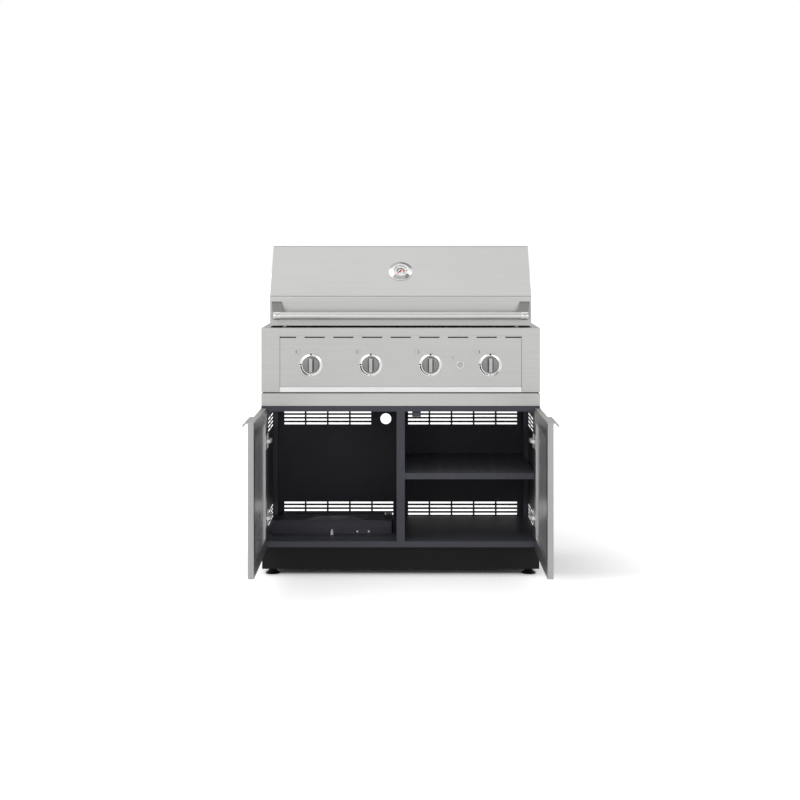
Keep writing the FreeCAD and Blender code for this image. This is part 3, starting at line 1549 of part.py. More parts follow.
# Lid pins on the lid's ends, and the brackets on the deck outside the lid that carry them.


def lid_pivots():
    radius = "lid_pin / 2"
    outline = [("0", "0"), (radius, "0"), (radius, "pivot_reach"), ("0", "pivot_reach")]
    right = turned("lid_pin_right", outline, LID_HALF, "lid_pivot_back", Z_PIVOT, "right")
    return grouped("lid_pins", [right, mirrored("lid_pin_left", right)])


def lid_bracket():
    body = new_body("lid_bracket_right")
    low = f"({LID_HALF} + slack)"
    y = ("lid_pivot_back - 14", "lid_pivot_back + 14")
    slab(body, "YZ", corners(y, (Z_DECK, f"{Z_PIVOT} + 12")), low, f"{low} + 3")
    slab(body, "XY", corners((low, f"{low} + 16"), y), Z_DECK, f"{Z_DECK} + 3")
    drill(
        body, "YZ", "lid_pivot_back", Z_PIVOT, "lid_pin + 2 * pin_gap",
        f"{low} - 1", f"{low} + 4",
    )
    return grouped("lid_brackets", [body, mirrored("lid_bracket_left", body)])


keep(lid_pivots(), lid_bracket())


# Lid bumpers: two pads on the deck that the hem rests on.

bumper = block(
    "lid_bumper_right",
    ("lid_width / 2 - 60", "lid_width / 2 - 48"),
    ("lid_front + 2", "lid_front + 14"),
    (Z_DECK, f"{Z_LID} - running_gap"),
)
keep(grouped("lid_bumpers", [bumper, mirrored("lid_bumper_left", bumper)]))


# Handle: a tube between two cast brackets that taper to its end caps.

HANDLE_Y = "(lid_front - handle_reach)"
Z_HANDLE = f"({Z_DECK} + handle_level)"


def handle_tube():
    radius = "handle_bore / 2"
    half = "handle_length / 2"
    outline = [("0", f"-{half}"), (radius, f"-{half}"), (radius, half), ("0", half)]
    return turned("handle_tube", outline, "0", HANDLE_Y, Z_HANDLE, "right")


def handle_bracket():
    """Lofted from its seat on the lid to a band behind the tube."""
    body = new_body("bracket_right")
    wide = corners(
        ("bracket_outer - bracket_width", "bracket_outer"), (f"{Z_HANDLE} - 14", f"{Z_HANDLE} + 49.5")
    )
    seat = sketch_on(body, "XZ", "lid_front")
    polyline(seat, wide)
    narrow = corners(
        ("bracket_outer - bracket_width - 7", "bracket_outer - 10"),
        (f"{Z_HANDLE} - 13", f"{Z_HANDLE} + 13"),
    )
    tip = sketch_on(body, "XZ", HANDLE_Y)
    polyline(tip, narrow)
    loft = body.newObject("PartDesign::AdditiveLoft", "bracket_loft")
    loft.Profile = (seat, [""])
    loft.Sections = [(tip, [""])]
    loft.Ruled = True
    body.Tip = loft
    bar = rod("bracket_bore", "X", "handle_bore / 2", "handle_length", "0", HANDLE_Y, Z_HANDLE)
    right = less("handle_bracket_right", body, [bar])
    return grouped("handle_brackets", [right, mirrored("handle_bracket_left", right)])


keep(handle_tube(), handle_bracket())


# Thermometer: a dished case on the slope, with dial, glass and a needle on its staff.

SLOPE_LENGTH = "sqrt(lid_run * lid_run + lid_slope_rise * lid_slope_rise)"
GAUGE_Y = f"(lid_front + gauge_up * lid_run / {SLOPE_LENGTH})"
Z_GAUGE = f"({Z_KNEE} + gauge_up * lid_slope_rise / {SLOPE_LENGTH})"
LEAN = "atan(lid_slope_rise / lid_run)"


def lean(body):
    """Set a body square to the slope at the thermometer's centre."""
    body.Placement = FreeCAD.Placement(VECTOR(), FreeCAD.Rotation(VECTOR(1, 0, 0), 45))
    bind(body, "Placement.Rotation.Angle", LEAN)
    bind(body, "Placement.Base.y", f"{ORIGIN_Y} + {GAUGE_Y}")
    bind(body, "Placement.Base.z", Z_GAUGE)


def on_slope(name, points):
    body = doc.addObject("PartDesign::Body", name)
    lean(body)
    spin(body, "Revolution", points)
    return body


CASE = on_slope(
    "thermometer_case",
    [
        ("0", "0"),
        ("gauge_bore / 2", "0"),
        ("gauge_bore / 2", "dial_floor"),
        ("dial_bore / 2 + 2", "gauge_depth"),
        ("dial_bore / 2", "gauge_depth"),
        ("dial_bore / 2", "dial_floor"),
        ("0", "dial_floor"),
    ],
)
GLASS = on_slope(
    "thermometer_glass",
    [
        ("0", "gauge_depth - 3"),
        ("dial_bore / 2", "gauge_depth - 3"),
        ("dial_bore / 2", "gauge_depth - 1"),
        ("0", "gauge_depth - 1"),
    ],
)


def needle():
    """A hub with a pointer and a short tail, lying at the cold end of the scale."""
    body = doc.addObject("PartDesign::Body", "thermometer_needle")
    lean(body)
    reach = "(dial_bore / 2 - 5) * 0.7071"
    hub = [("-3", "-3"), ("0", "-4"), ("4", "0"), ("3", "3"), ("0", "4"), ("-4", "0")]
    slab(body, "XY", hub, f"dial_floor + {GAP}", "dial_floor + 3")
    outline = [(f"-{reach}", f"-{reach}"), ("2.5", "-2"), ("6", "6"), ("-2", "2.5")]
    slab(body, "XY", outline, "dial_floor + 1", "dial_floor + 2")
    return body


keep(CASE, GLASS, needle())


doc.recompute()


# Every object is sound, and each sub-part is a valid solid or group of solids.

for thing in doc.Objects:
    if "Invalid" in thing.State or "Error" in thing.State:
        raise RuntimeError(f"{thing.Label} did not compute: {thing.State}")
for thing in SUBPARTS:
    if thing.Shape.isNull() or not thing.Shape.isValid() or not thing.Shape.Solids:
        raise RuntimeError(f"{thing.Label} is not a valid solid")

os.makedirs("parts", exist_ok=True)
for thing in SUBPARTS:
    thing.Shape.exportStep(f"parts/{thing.Label}.step")
print(len(SUBPARTS), "sub-parts written")
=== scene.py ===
import json
import math

import bmesh
import bpy
from mathutils import Matrix, Vector

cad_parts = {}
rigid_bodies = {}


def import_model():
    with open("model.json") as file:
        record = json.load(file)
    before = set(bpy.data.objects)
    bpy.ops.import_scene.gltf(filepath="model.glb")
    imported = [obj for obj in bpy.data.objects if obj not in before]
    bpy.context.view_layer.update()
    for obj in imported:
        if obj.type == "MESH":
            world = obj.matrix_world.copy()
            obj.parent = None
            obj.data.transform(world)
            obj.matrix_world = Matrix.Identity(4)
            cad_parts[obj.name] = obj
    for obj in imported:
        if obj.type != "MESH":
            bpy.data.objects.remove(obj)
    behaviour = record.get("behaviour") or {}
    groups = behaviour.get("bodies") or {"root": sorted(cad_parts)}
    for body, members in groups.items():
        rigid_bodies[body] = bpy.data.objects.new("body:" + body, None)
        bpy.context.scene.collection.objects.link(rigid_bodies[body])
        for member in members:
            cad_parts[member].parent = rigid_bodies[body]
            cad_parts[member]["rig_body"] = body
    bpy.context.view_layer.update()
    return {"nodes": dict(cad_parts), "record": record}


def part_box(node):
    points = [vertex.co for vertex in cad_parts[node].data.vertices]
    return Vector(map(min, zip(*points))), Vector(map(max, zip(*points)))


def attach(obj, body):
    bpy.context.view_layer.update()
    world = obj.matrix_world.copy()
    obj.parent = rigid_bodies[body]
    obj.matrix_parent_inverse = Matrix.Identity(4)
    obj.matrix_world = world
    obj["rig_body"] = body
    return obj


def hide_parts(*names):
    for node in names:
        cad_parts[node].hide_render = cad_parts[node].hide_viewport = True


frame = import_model()
nodes = frame["nodes"]


# Powder-coated cabinet shell: side panels, back, floor, posts, divider and rails, folded from
# steel sheet, welded or riveted together and coated in slate grey with a fine orange peel.
# The toe-kick below is the same sheet in matt black.

SLATE = (0.057, 0.058, 0.073)
BLACK_COAT = (0.0058, 0.0058, 0.0060)
COAT_ROUGHNESS = 0.46
BACK_PAINTED_SHADE = 0.60
PEEL = 520.0
DUST = 5.0
SPECKS = 1800.0
NOISE_ROUGHNESS = 0.55
CABINET_SHEET = (
    "side_panel_left", "side_panel_right", "floor_panel",
    "rear_corner_posts", "centre_divider", "top_rails",
)


class Wire:
    """A number that changes over a surface. Arithmetic on it adds Math nodes to its finish."""

    def __init__(self, finish, socket):
        self.finish = finish
        self.socket = socket

    def math(self, operation, *values):
        inputs = dict(enumerate((self, *values)))
        return self.finish.node("Math", {"operation": operation}, inputs)

    def __add__(self, other):
        return self.math("ADD", other)

    def __radd__(self, other):
        return self.math("ADD", other)

    def __sub__(self, other):
        return self.math("SUBTRACT", other)

    def __rsub__(self, other):
        return self.finish.node("Math", {"operation": "SUBTRACT"}, {0: other, 1: self})

    def __mul__(self, other):
        return self.math("MULTIPLY", other)

    def __rmul__(self, other):
        return self.math("MULTIPLY", other)

    def __truediv__(self, other):
        return self.math("DIVIDE", other)

    def ramp(self, low, high, start=0.0, end=1.0):
        """Start up to low, end from high on, and a smooth step between them."""
        settings = {"interpolation_type": "SMOOTHSTEP"}
        inputs = {"Value": self, "From Min": low, "From Max": high, "To Min": start, "To Max": end}
        return self.finish.node("MapRange", settings, inputs)


def shade(colour, factor):
    return tuple(channel * factor for channel in colour)


class Finish:
    """A material: its Principled shader and the nodes that feed it, on Object coordinates."""

    def __init__(self, name, metallic=0.0, specular=0.5):
        self.material = bpy.data.materials.new(name)
        self.material.use_nodes = True
        self.tree = self.material.node_tree
        self.shader = self.tree.nodes["Principled BSDF"]
        self.wear(Metallic=metallic, Specular_IOR_Level=specular)

    def node(self, kind, settings=None, inputs=None, output=0):
        made = self.tree.nodes.new("ShaderNode" + kind)
        for key, value in (settings or {}).items():
            setattr(made, key, value)
        for key, value in (inputs or {}).items():
            self.feed(made.inputs[key], value)
        return Wire(self, made.outputs[output])

    def feed(self, socket, value):
        if isinstance(value, Wire):
            self.tree.links.new(value.socket, socket)
        else:
            socket.default_value = value

    def axis(self, letter, source=None):
        """One coordinate of the point on the object, in metres, or of another vector."""
        vector = source or self.node("TexCoord", output="Object")
        return self.node("SeparateXYZ", None, {0: vector}, output=letter)

    def noise(self, scale, detail=3.0):
        """Soft noise from 0 to 1, with one scale, or with its own along X, Y and Z."""
        scales = scale if isinstance(scale, tuple) else (scale, scale, scale)
        here = self.node("TexCoord", output="Object")
        spot = self.node("Mapping", None, {"Vector": here, "Scale": scales})
        inputs = {"Vector": spot, "Scale": 1.0, "Detail": detail, "Roughness": NOISE_ROUGHNESS}
        return self.node("TexNoise", None, inputs)

    def mix(self, mask, first, second):
        """The first colour where the mask is 0, the second where it is 1."""
        made = self.tree.nodes.new("ShaderNodeMix")
        made.data_type = "RGBA"
        self.feed(made.inputs[0], mask)
        for socket, colour in ((made.inputs[6], first), (made.inputs[7], second)):
            self.feed(socket, colour if isinstance(colour, Wire) else (*colour, 1.0))
        return Wire(self, made.outputs[2])

    def vary(self, mask, colour, low, high):
        """One colour, times low where the mask is 0 and times high where it is 1."""
        return self.mix(mask, shade(colour, low), shade(colour, high))

    def bump(self, height, strength, distance):
        return self.node("Bump", None, {"Height": height, "Strength": strength, "Distance": distance})

    def wear(self, **sockets):
        """Feeds the shader: Base_Color=..., Roughness=..., Normal=... and the like."""
        for name, value in sockets.items():
            if name == "Base_Color" and not isinstance(value, Wire):
                value = (*value, 1.0)
            self.feed(self.shader.inputs[name.replace("_", " ")], value)
        return self


def powder_coat(name, colour, roughness=COAT_ROUGHNESS):
    """Baked powder paint: orange peel, faint dust on it and a little polish in places."""
    coat = Finish(name, specular=0.22)
    peel = coat.noise(PEEL, 2.0)
    cloud = coat.noise(DUST, 4.0)
    speck = coat.noise(SPECKS, 0.0).ramp(0.62, 0.70)
    tone = coat.vary(cloud.ramp(0.3, 0.7), colour, 0.93, 1.07)
    coat.wear(
        Base_Color=coat.mix(speck * 0.35, tone, shade(colour, 1.9)),
        Roughness=cloud * 0.10 + (roughness - 0.05) + peel * 0.04,
        Normal=coat.bump(peel, 0.22, 0.0004),
    )
    return coat.material


def dress(material, *names):
    """Gives CAD nodes their finish."""
    for name in names:
        for slot in nodes[name].material_slots:
            slot.material = material


dress(powder_coat("slate_powder_coat", SLATE), *CABINET_SHEET, "door_catch")
# The back panel's coat is the slate painted darker: painted shade inside the bays.
dress(powder_coat("painted_shade_powder_coat", shade(SLATE, BACK_PAINTED_SHADE), 0.5), "back_panel")
dress(powder_coat("black_powder_coat", BLACK_COAT, 0.62), "plinth_frame")


# Small steel screws that hold the back panel to its posts, rail and floor. Each is a low dome
# with a cross recess, cold headed, zinc plated, and driven in rows along the sheet's edges.

SCREW_RADIUS = 0.0042
SCREW_RISE = 0.0021
SCREW_SUNK = 0.0010
CROSS_BARS = ((1.15, 0.26, 1.2), (0.26, 1.15, 1.2))
CROSS_LEVEL = 1.05
ROW_SCREWS = 8
ROW_END = 0.03
ROW_INSETS = (0.013, 0.012)
COLUMN_SCREWS = 4
COLUMN_END = 0.06
COLUMN_INSET = 0.009
SMOOTH_ANGLE = 40.0
ZINC = (0.60, 0.61, 0.63)
NICKEL = (0.86, 0.86, 0.87)
CLOUDY = 60.0
SCRATCHES = (900.0, 40.0, 40.0)


def zinc_plating(name, colour=ZINC, roughness=0.34, metallic=1.0):
    """Bright zinc: cloudy blue and straw patches, and fine scratches from handling."""
    plate = Finish(name, metallic=metallic)
    cloud = plate.noise(CLOUDY, 4.0)
    scratch = plate.noise(SCRATCHES, 1.0)
    tint = plate.vary(cloud.ramp(0.35, 0.65), colour, 0.86, 1.06)
    plate.wear(
        Base_Color=plate.mix(scratch.ramp(0.60, 0.75), tint, shade(colour, 1.15)),
        Roughness=cloud * 0.16 + roughness - 0.06,
        Normal=plate.bump(scratch, 0.10, 0.0003),
    )
    return plate.material


zinc = zinc_plating("zinc_plate")
nickel = zinc_plating("bright_nickel", NICKEL, roughness=0.32, metallic=0.45)


class Tree:
    """A Geometry Nodes tree, built node by node."""

    def __init__(self, name, sizes):
        self.group = bpy.data.node_groups.new(name, "GeometryNodeTree")
        face = self.group.interface
        face.new_socket("Geometry", in_out="INPUT", socket_type="NodeSocketGeometry")
        for title in sizes:
            face.new_socket(title, in_out="INPUT", socket_type="NodeSocketFloat")
        face.new_socket("Finish", in_out="INPUT", socket_type="NodeSocketMaterial")
        face.new_socket("Geometry", in_out="OUTPUT", socket_type="NodeSocketGeometry")
        self.start = self.group.nodes.new("NodeGroupInput")
        self.end = self.group.nodes.new("NodeGroupOutput")

    def node(self, kind, settings=None, inputs=None):
        """Adds a node and returns its first output."""
        made = self.group.nodes.new(kind)
        for key, value in (settings or {}).items():
            setattr(made, key, value)
        for key, value in (inputs or {}).items():
            self.feed(made.inputs[key], value)
        return made.outputs[0]

    def feed(self, socket, value):
        if isinstance(value, bpy.types.NodeSocket):
            self.group.links.new(value, socket)
        else:
            socket.default_value = value

    def moved(self, shape, **change):
        """The shape moved by Translation or stretched by Scale."""
        return self.node("GeometryNodeTransform", None, {"Geometry": shape, **change})

    def given(self, title):
        return self.start.outputs[title]

    def finish(self, instances):
        """Makes the instances real and gives them the finish that the modifier names."""
        real = self.node("GeometryNodeRealizeInstances", None, {0: instances})
        inputs = {"Geometry": real, "Material": self.given("Finish")}
        self.feed(self.end.inputs[0], self.node("GeometryNodeSetMaterial", None, inputs))
        return self.group


def screw_tree():
    """A screw head on each point, its back sunk in the sheet, turned to face along the normal."""
    tree = Tree("screw_heads", ("Radius", "Rise"))
    radius, rise = tree.given("Radius"), tree.given("Rise")
    size = tree.node("ShaderNodeCombineXYZ", None, {0: radius, 1: radius, 2: rise})
    dome = tree.node("GeometryNodeMeshIcoSphere", None, {"Radius": 1.0, "Subdivisions": 3})
    head = tree.moved(dome, Scale=size)
    recessed = tree.node("GeometryNodeMeshBoolean", {"operation": "DIFFERENCE"}, {"Mesh 1": head})
    for bar_size in CROSS_BARS:
        bar = tree.node("GeometryNodeMeshCube", None, {"Size": bar_size})
        raised = tree.moved(bar, Translation=(0.0, 0.0, CROSS_LEVEL))
        tree.feed(recessed.node.inputs["Mesh 2"], tree.moved(raised, Scale=size))
    named = {"data_type": "FLOAT_VECTOR"}
    facing = tree.node("GeometryNodeInputNamedAttribute", named, {"Name": "facing"})
    turn = tree.node("FunctionNodeAlignRotationToVector", {"axis": "Z"}, {"Vector": facing})
    inputs = {"Points": tree.given("Geometry"), "Instance": recessed, "Rotation": turn}
    return tree.finish(tree.node("GeometryNodeInstanceOnPoints", None, inputs))


SCREW_HEADS = screw_tree()


def grown(name, tree, places, sizes, material, body):
    """Runs a tree on (point, facing) places and keeps the result as one plain piece on a body."""
    seed = bpy.data.meshes.new(name + "_points")
    seed.from_pydata([tuple(point) for point, way in places], [], [])
    facing = seed.attributes.new("facing", "FLOAT_VECTOR", "POINT")
    facing.data.foreach_set("vector", [part for point, way in places for part in way])
    host = bpy.data.objects.new(name + "_host", seed)
    bpy.context.scene.collection.objects.link(host)
    modifier = host.modifiers.new("grow", "NODES")
    modifier.node_group = tree
    values = {**sizes, "Finish": material}
    for item in tree.interface.items_tree:
        if item.in_out == "INPUT" and item.name in values:
            modifier[item.identifier] = values[item.name]
    made = host.evaluated_get(bpy.context.evaluated_depsgraph_get())
    mesh = bpy.data.meshes.new_from_object(made)
    mesh.name = name
    bpy.data.objects.remove(host)
    return settle(name, mesh, material, body)


def settle(name, mesh, material, body, smooth_angle=SMOOTH_ANGLE):
    """A finished mesh becomes a piece that rides on its body."""
    mesh.materials.clear()
    mesh.materials.append(material)
    mesh.polygons.foreach_set("material_index", [0] * len(mesh.polygons))
    mesh.shade_smooth()
    mesh.set_sharp_from_angle(angle=math.radians(smooth_angle))
    piece = bpy.data.objects.new(name, mesh)
    bpy.context.scene.collection.objects.link(piece)
    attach(piece, body)
    return piece


def screws(name, places, material=zinc, body="cabinet"):
    """Screw heads at (point, direction that the head faces)."""
    sizes = {"Radius": SCREW_RADIUS, "Rise": SCREW_RISE}
    return grown(name, SCREW_HEADS, places, sizes, material, body)


def evenly(low, high, count):
    return [low + (high - low) * (step + 0.5) / count for step in range(count)]


def back_screws():
    """Rows along the top and bottom edges of the back panel, and columns along its sides."""
    low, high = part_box("back_panel")
    across = evenly(low.x + ROW_END, high.x - ROW_END, ROW_SCREWS)
    upward = evenly(low.z + COLUMN_END, high.z - COLUMN_END, COLUMN_SCREWS)
    spots = [(x, z) for z in (low.z + ROW_INSETS[0], high.z - ROW_INSETS[1]) for x in across]
    spots += [(x, z) for x in (low.x + COLUMN_INSET, high.x - COLUMN_INSET) for z in upward]
    out = Vector((0.0, 1.0, 0.0))
    return [(Vector((x, high.y - SCREW_SUNK, z)), out) for x, z in spots]


screws("back_panel_screws", back_screws())


# Levelling feet: a moulded black pad and cone on a plated stem. They are turned by hand to level
# the cabinet, then locked by their nuts under the plinth. The lid's bumpers are moulded too.

RUBBER = (0.008, 0.008, 0.008)
SILICONE = (0.42, 0.42, 0.41)
MOULD_GRAIN = 700.0
SCUFFS = (90.0, 90.0, 240.0)
ROUND_STEPS = 96
SMALL_STEPS = 64
ON_AXIS = 1e-6
CORNER_SHARE = 2.2
FOOT_PAD = 0.0265
FOOT_NECK = 0.010
FOOT_OUTLINE = [(0.0, 0.0), (FOOT_PAD, 0.0), (FOOT_PAD, 0.0035), (0.01643, 0.0105), (0.011, 0.019)]
FOOT_EASE = 0.0022


def softened(outline, radius, closed=False):
    """An outline with each corner cut back by up to the radius and rounded with three points."""
    points = [Vector(point) for point in outline]
    smooth = []
    for index, point in enumerate(points):
        if not closed and index in (0, len(points) - 1):
            smooth.append(point)
            continue
        before, after = points[index - 1] - point, points[(index + 1) % len(points)] - point
        reach = min(radius, before.length / CORNER_SHARE, after.length / CORNER_SHARE)
        start = point + before.normalized() * reach
        end = point + after.normalized() * reach
        smooth += [start, (start + end) / 4 + point / 2, end]
    return smooth


def lathe(outline, place, closed=False, steps=ROUND_STEPS):
    """Turns an outline of (radius, height) about the Z axis of a placing matrix."""
    work = bmesh.new()
    turns = [2 * math.pi * step / steps for step in range(steps)]
    ways = [(math.cos(turn), math.sin(turn)) for turn in turns]
    rings = []
    for radius, height in outline:
        if radius < ON_AXIS:
            spots = [Vector((0.0, 0.0, height))]
        else:
            spots = [Vector((radius * across, radius * up, height)) for across, up in ways]
        rings.append([work.verts.new(place @ spot) for spot in spots])
    pairs = list(zip(rings, rings[1:])) + ([(rings[-1], rings[0])] if closed else [])
    for low, high in pairs:
        for step in range(steps):
            after = (step + 1) % steps
            if len(low) == 1:
                work.faces.new((low[0], high[after], high[step]))
            elif len(high) == 1:
                work.faces.new((low[step], low[after], high[0]))
            else:
                work.faces.new((low[step], low[after], high[after], high[step]))
    bmesh.ops.recalc_face_normals(work, faces=work.faces)
    return work


def plain_mesh(name, *works):
    """One mesh from one or more worked shapes."""
    mesh = bpy.data.meshes.new(name)
    whole = bmesh.new()
    for work in works:
        part = bpy.data.meshes.new(name + "_part")
        work.to_mesh(part)
        work.free()
        whole.from_mesh(part)
        bpy.data.meshes.remove(part)
    whole.to_mesh(mesh)
    whole.free()
    return mesh


def stand_for(node, works, material, smooth_angle=SMOOTH_ANGLE):
    """Worked shapes stand for a CAD node and ride on the node's body."""
    name = node + "_finished"
    mesh = plain_mesh(name, *works)
    piece = settle(name, mesh, material, nodes[node]["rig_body"], smooth_angle)
    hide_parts(node)
    return piece


def rubber(name, colour):
    """Moulded rubber or silicone: fine mould grain and pale scuffs."""
    moulding = Finish(name, specular=0.3)
    grain = moulding.noise(MOULD_GRAIN, 2.0)
    scuff = moulding.noise(SCUFFS).ramp(0.62, 0.78)
    moulding.wear(
        Base_Color=moulding.mix(scuff * 0.4, colour, shade(colour, 2.2)),
        Roughness=grain * 0.12 + 0.5,
        Normal=moulding.bump(grain, 0.2, 0.0004),
    )
    return moulding.material


def foot_shapes():
    low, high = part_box("levelling_feet")
    outline = softened([*FOOT_OUTLINE, (FOOT_NECK, high.z), (0.0, high.z)], FOOT_EASE)
    for x in (low.x + FOOT_PAD, high.x - FOOT_PAD):
        for y in (low.y + FOOT_PAD, high.y - FOOT_PAD):
            yield lathe(outline, Matrix.Translation((x, y, 0.0)), steps=SMALL_STEPS)


stand_for("levelling_feet", foot_shapes(), rubber("black_rubber", RUBBER))
dress(rubber("grey_silicone", SILICONE), "lid_bumpers")


# Adjustable shelf: a folded tray of the same coated sheet, a little polished in streaks where
# things slide in and out. It rests on four zinc-plated clips.

RUBBED = (40.0, 2.5, 40.0)


def worn_coat(name, colour):
    """Powder coat with rubbed streaks from front to back."""
    coat = Finish(name, specular=0.3)
    peel = coat.noise(PEEL, 2.0)
    rub = coat.noise(RUBBED, 4.0)
    coat.wear(
        Base_Color=coat.vary(rub.ramp(0.45, 0.75), colour, 0.97, 1.07),
        Roughness=rub.ramp(0.4, 0.8) * -0.05 + COAT_ROUGHNESS,
        Normal=coat.bump(peel, 0.2, 0.0004),
    )
    return coat.material


shelf_coat = worn_coat("shelf_powder_coat", SLATE)
dress(shelf_coat, "adjustable_shelf")
dress(zinc, "shelf_clips")


# Bottle tray: a folded tray on plated slides, with a hole for the bottle's foot ring and a thumb
# screw that holds the ring. A pressed latch tab hangs on its front below two screws.

TRAY_PAINTED_SHADE = 0.76
BLACK_ZINC = (0.045, 0.045, 0.048)
TAB_MIDDLE = -0.1405
TAB_HALF = 0.0135
TAB_FLARE = 0.006
TAB_CUT = 0.004
TAB_THICK = 0.0018
TAB_LOW = 0.134
TAB_HIGH = 0.151
SCREW_SPREAD = 0.0215
SCREW_LEVEL = 0.143


def tray_latch(front):
    """The small folded tab on the tray's front."""
    foot, level = TAB_HALF - TAB_CUT, TAB_LOW + TAB_CUT
    outline = [
        (-TAB_HALF - TAB_FLARE, TAB_HIGH), (-TAB_HALF, level), (-foot, TAB_LOW),
        (foot, TAB_LOW), (TAB_HALF, level), (TAB_HALF + TAB_FLARE, TAB_HIGH),
    ]
    work = bmesh.new()
    face = work.faces.new([work.verts.new((TAB_MIDDLE + x, front, z)) for x, z in outline])
    extruded = bmesh.ops.extrude_face_region(work, geom=[face])["geom"]
    corners = [item for item in extruded if isinstance(item, bmesh.types.BMVert)]
    bmesh.ops.translate(work, verts=corners, vec=(0.0, -TAB_THICK, 0.0))
    bmesh.ops.recalc_face_normals(work, faces=work.faces)
    return plain_mesh("tray_latch_tab", work)


def latch_screws(front):
    out = Vector((0.0, -1.0, 0.0))
    middles = (TAB_MIDDLE - SCREW_SPREAD, TAB_MIDDLE + SCREW_SPREAD)
    return [(Vector((x, front, SCREW_LEVEL)), out) for x in middles]


tray_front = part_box("tank_tray")[0].y
# The tray's coat is the slate painted darker: painted shade in the bay.
dress(worn_coat("tray_painted_shade_coat", shade(SLATE, TRAY_PAINTED_SHADE)), "tank_tray")
dress(nickel, "tray_thumb_screw")
dress(zinc_plating("black_zinc", BLACK_ZINC, roughness=0.5), "tray_slide_rails", "tray_slide_bars")
settle("tray_latch_tab", tray_latch(tray_front), shelf_coat, "bottle_tray")
screws("tray_latch_screws", latch_screws(tray_front), nickel, "bottle_tray")


# Brushed stainless sheet of the doors and the grill head. The sheet comes from the mill with
# one grain, which runs along each folded piece, under a film that is peeled off at the end.

STEEL = (0.482, 0.482, 0.473)
ACROSS = 1500.0
ALONG = 9.0
GRAIN = {"X": (ALONG, ACROSS, ACROSS), "Y": (ACROSS, ALONG, ACROSS), "Z": (ACROSS, ACROSS, ALONG)}
COARSER = 0.12
STEEL_CLOUD = 2.2
DOOR_PAINTED_SHADE = 0.80
MILL_SHADE = 0.94


def brushed_steel_finish(name, grain="X", colour=STEEL, roughness=0.34, depth=0.10):
    """Stainless with a brushed grain along X, or along Z on upright sheet. Ends are along Y."""
    sheet = Finish(name, metallic=1.0)
    fine = sheet.noise(GRAIN[grain], 2.0)
    if grain == "X":
        facing = sheet.axis("X", sheet.node("TexCoord", output="Normal"))
        ends = facing.math("ABSOLUTE").ramp(0.6, 0.8)
        fine = fine * (1.0 - ends) + sheet.noise(GRAIN["Y"], 2.0) * ends
    coarse = sheet.noise(shade(GRAIN[grain], COARSER), 2.0)
    cloud = sheet.noise(STEEL_CLOUD)
    streak = fine * 0.6 + coarse * 0.4
    tone = sheet.vary(streak.ramp(0.3, 0.7), colour, 0.95, 1.05)
    sheet.wear(
        Base_Color=sheet.mix(cloud.ramp(0.3, 0.7) * 0.25, tone, shade(colour, 0.93)),
        Roughness=streak * 0.16 + cloud * 0.05 + (roughness - 0.10),
        Normal=sheet.bump(streak, depth, 0.0005),
    )
    return sheet


def brushed_steel(name, **choices):
    return brushed_steel_finish(name, **choices).material


steel = brushed_steel("brushed_stainless")
# The doors' stainless is painted darker than the rest: painted shade for their dim reflections.
door_steel = brushed_steel("brushed_stainless_door_painted_shade", grain="Z", colour=shade(STEEL, DOOR_PAINTED_SHADE))
mill_grey = shade(STEEL, MILL_SHADE)
mill_steel = brushed_steel("mill_stainless", colour=mill_grey, roughness=0.4, depth=0.05)


# Doors: a stainless skin folded round a recessed inner panel of satin grey sheet, a folded pull
# on the top edge, and two concealed hinges, each a pressed cup in the door and a nickel-plated
# arm on the post.

PANEL_GREY = (0.35, 0.35, 0.36)
RETURN_PAINTED_SHEEN = 1.15
SMEARS = (6.0, 6.0, 3.0)


def recessed_panel(name):
    """Satin grey sheet, whose recess is walled by the skin's stainless return, painted lighter than the
    stainless as a painted sheen.
    """
    panel = Finish(name, specular=0.8)
    facing = panel.axis("X", panel.node("TexCoord", output="Normal")).math("ABSOLUTE")
    wall = facing.ramp(0.7, 0.5)
    peel = panel.noise(PEEL, 2.0)
    smear = panel.noise(SMEARS, 1.0)
    panel.wear(
        Base_Color=panel.mix(wall, PANEL_GREY, shade(STEEL, RETURN_PAINTED_SHEEN)),
        Metallic=wall * 0.6 + 0.4,
        Roughness=smear * 0.04 + 0.26,
        Normal=panel.bump(peel, 0.01, 0.0002),
    )
    return panel.material


door_panel = recessed_panel("door_inner_panel")
for side in ("left", "right"):
    dress(door_steel, f"door_{side}_skin")
    dress(steel, f"door_{side}_pull")
    dress(door_panel, f"door_{side}_liner")
    dress(zinc, f"door_{side}_hinge_cups")
dress(nickel, "hinge_arms")


# Stainless fascia and grill housing, which stand apart by a shadow gap, and the control
# panel between the pillars, all folded from brushed sheet. The support in the gap and the seams
# beside the pillars are painted dark as painted shade. The burner signs are etched: an
# outline with the burner's own bar dark.

GAP_PAINTED_SHADE = (0.045, 0.045, 0.045)
SOOT_AND_SHADE = (0.006, 0.006, 0.006)
ETCHED = (0.16, 0.16, 0.16)
TRAY_FRONT_PAINTED_SHEEN = (0.90, 0.90, 0.895)
GAP_SHADE_FOOT = (0.0008, 0.0010)
GAP_SHADE_HEAD = 0.0001
SOOT_AND_SHADE_DEPTH = (0.002, 0.001)
SOOT_AND_SHADE_SIDE = 0.001
SOOT_AND_SHADE_FRONT = 0.0015
SOOT_AND_SHADE_BACK = 0.002
KNOB_COUNT = 4
KNOB_PITCH = 0.2177
FIRST_KNOB = -0.32655
KNOB_LEVEL = 0.776
SIGN_OFFSET = (-0.047, 0.0470)
SIGN_HALF = (0.0095, 0.0062)
SIGN_LINE = 0.0012
SIGN_BAR = (0.16, 0.8)
SIGN_INK = (0.4, 0.95)
PRINT_BLUR = 0.0002
BULB_PLACE = (0.190, 0.8045)
BULB_RADIUS = 0.0032
BULB_LINE = 0.0006
BULB_CAP = (0.0015, 0.0012)
BULB_CAP_LEVEL = -0.0052
BULB_INK = 0.6
SEAM = 0.0012
SEAM_BLUR = 0.0003
SEAM_SHADE_INK = 0.7


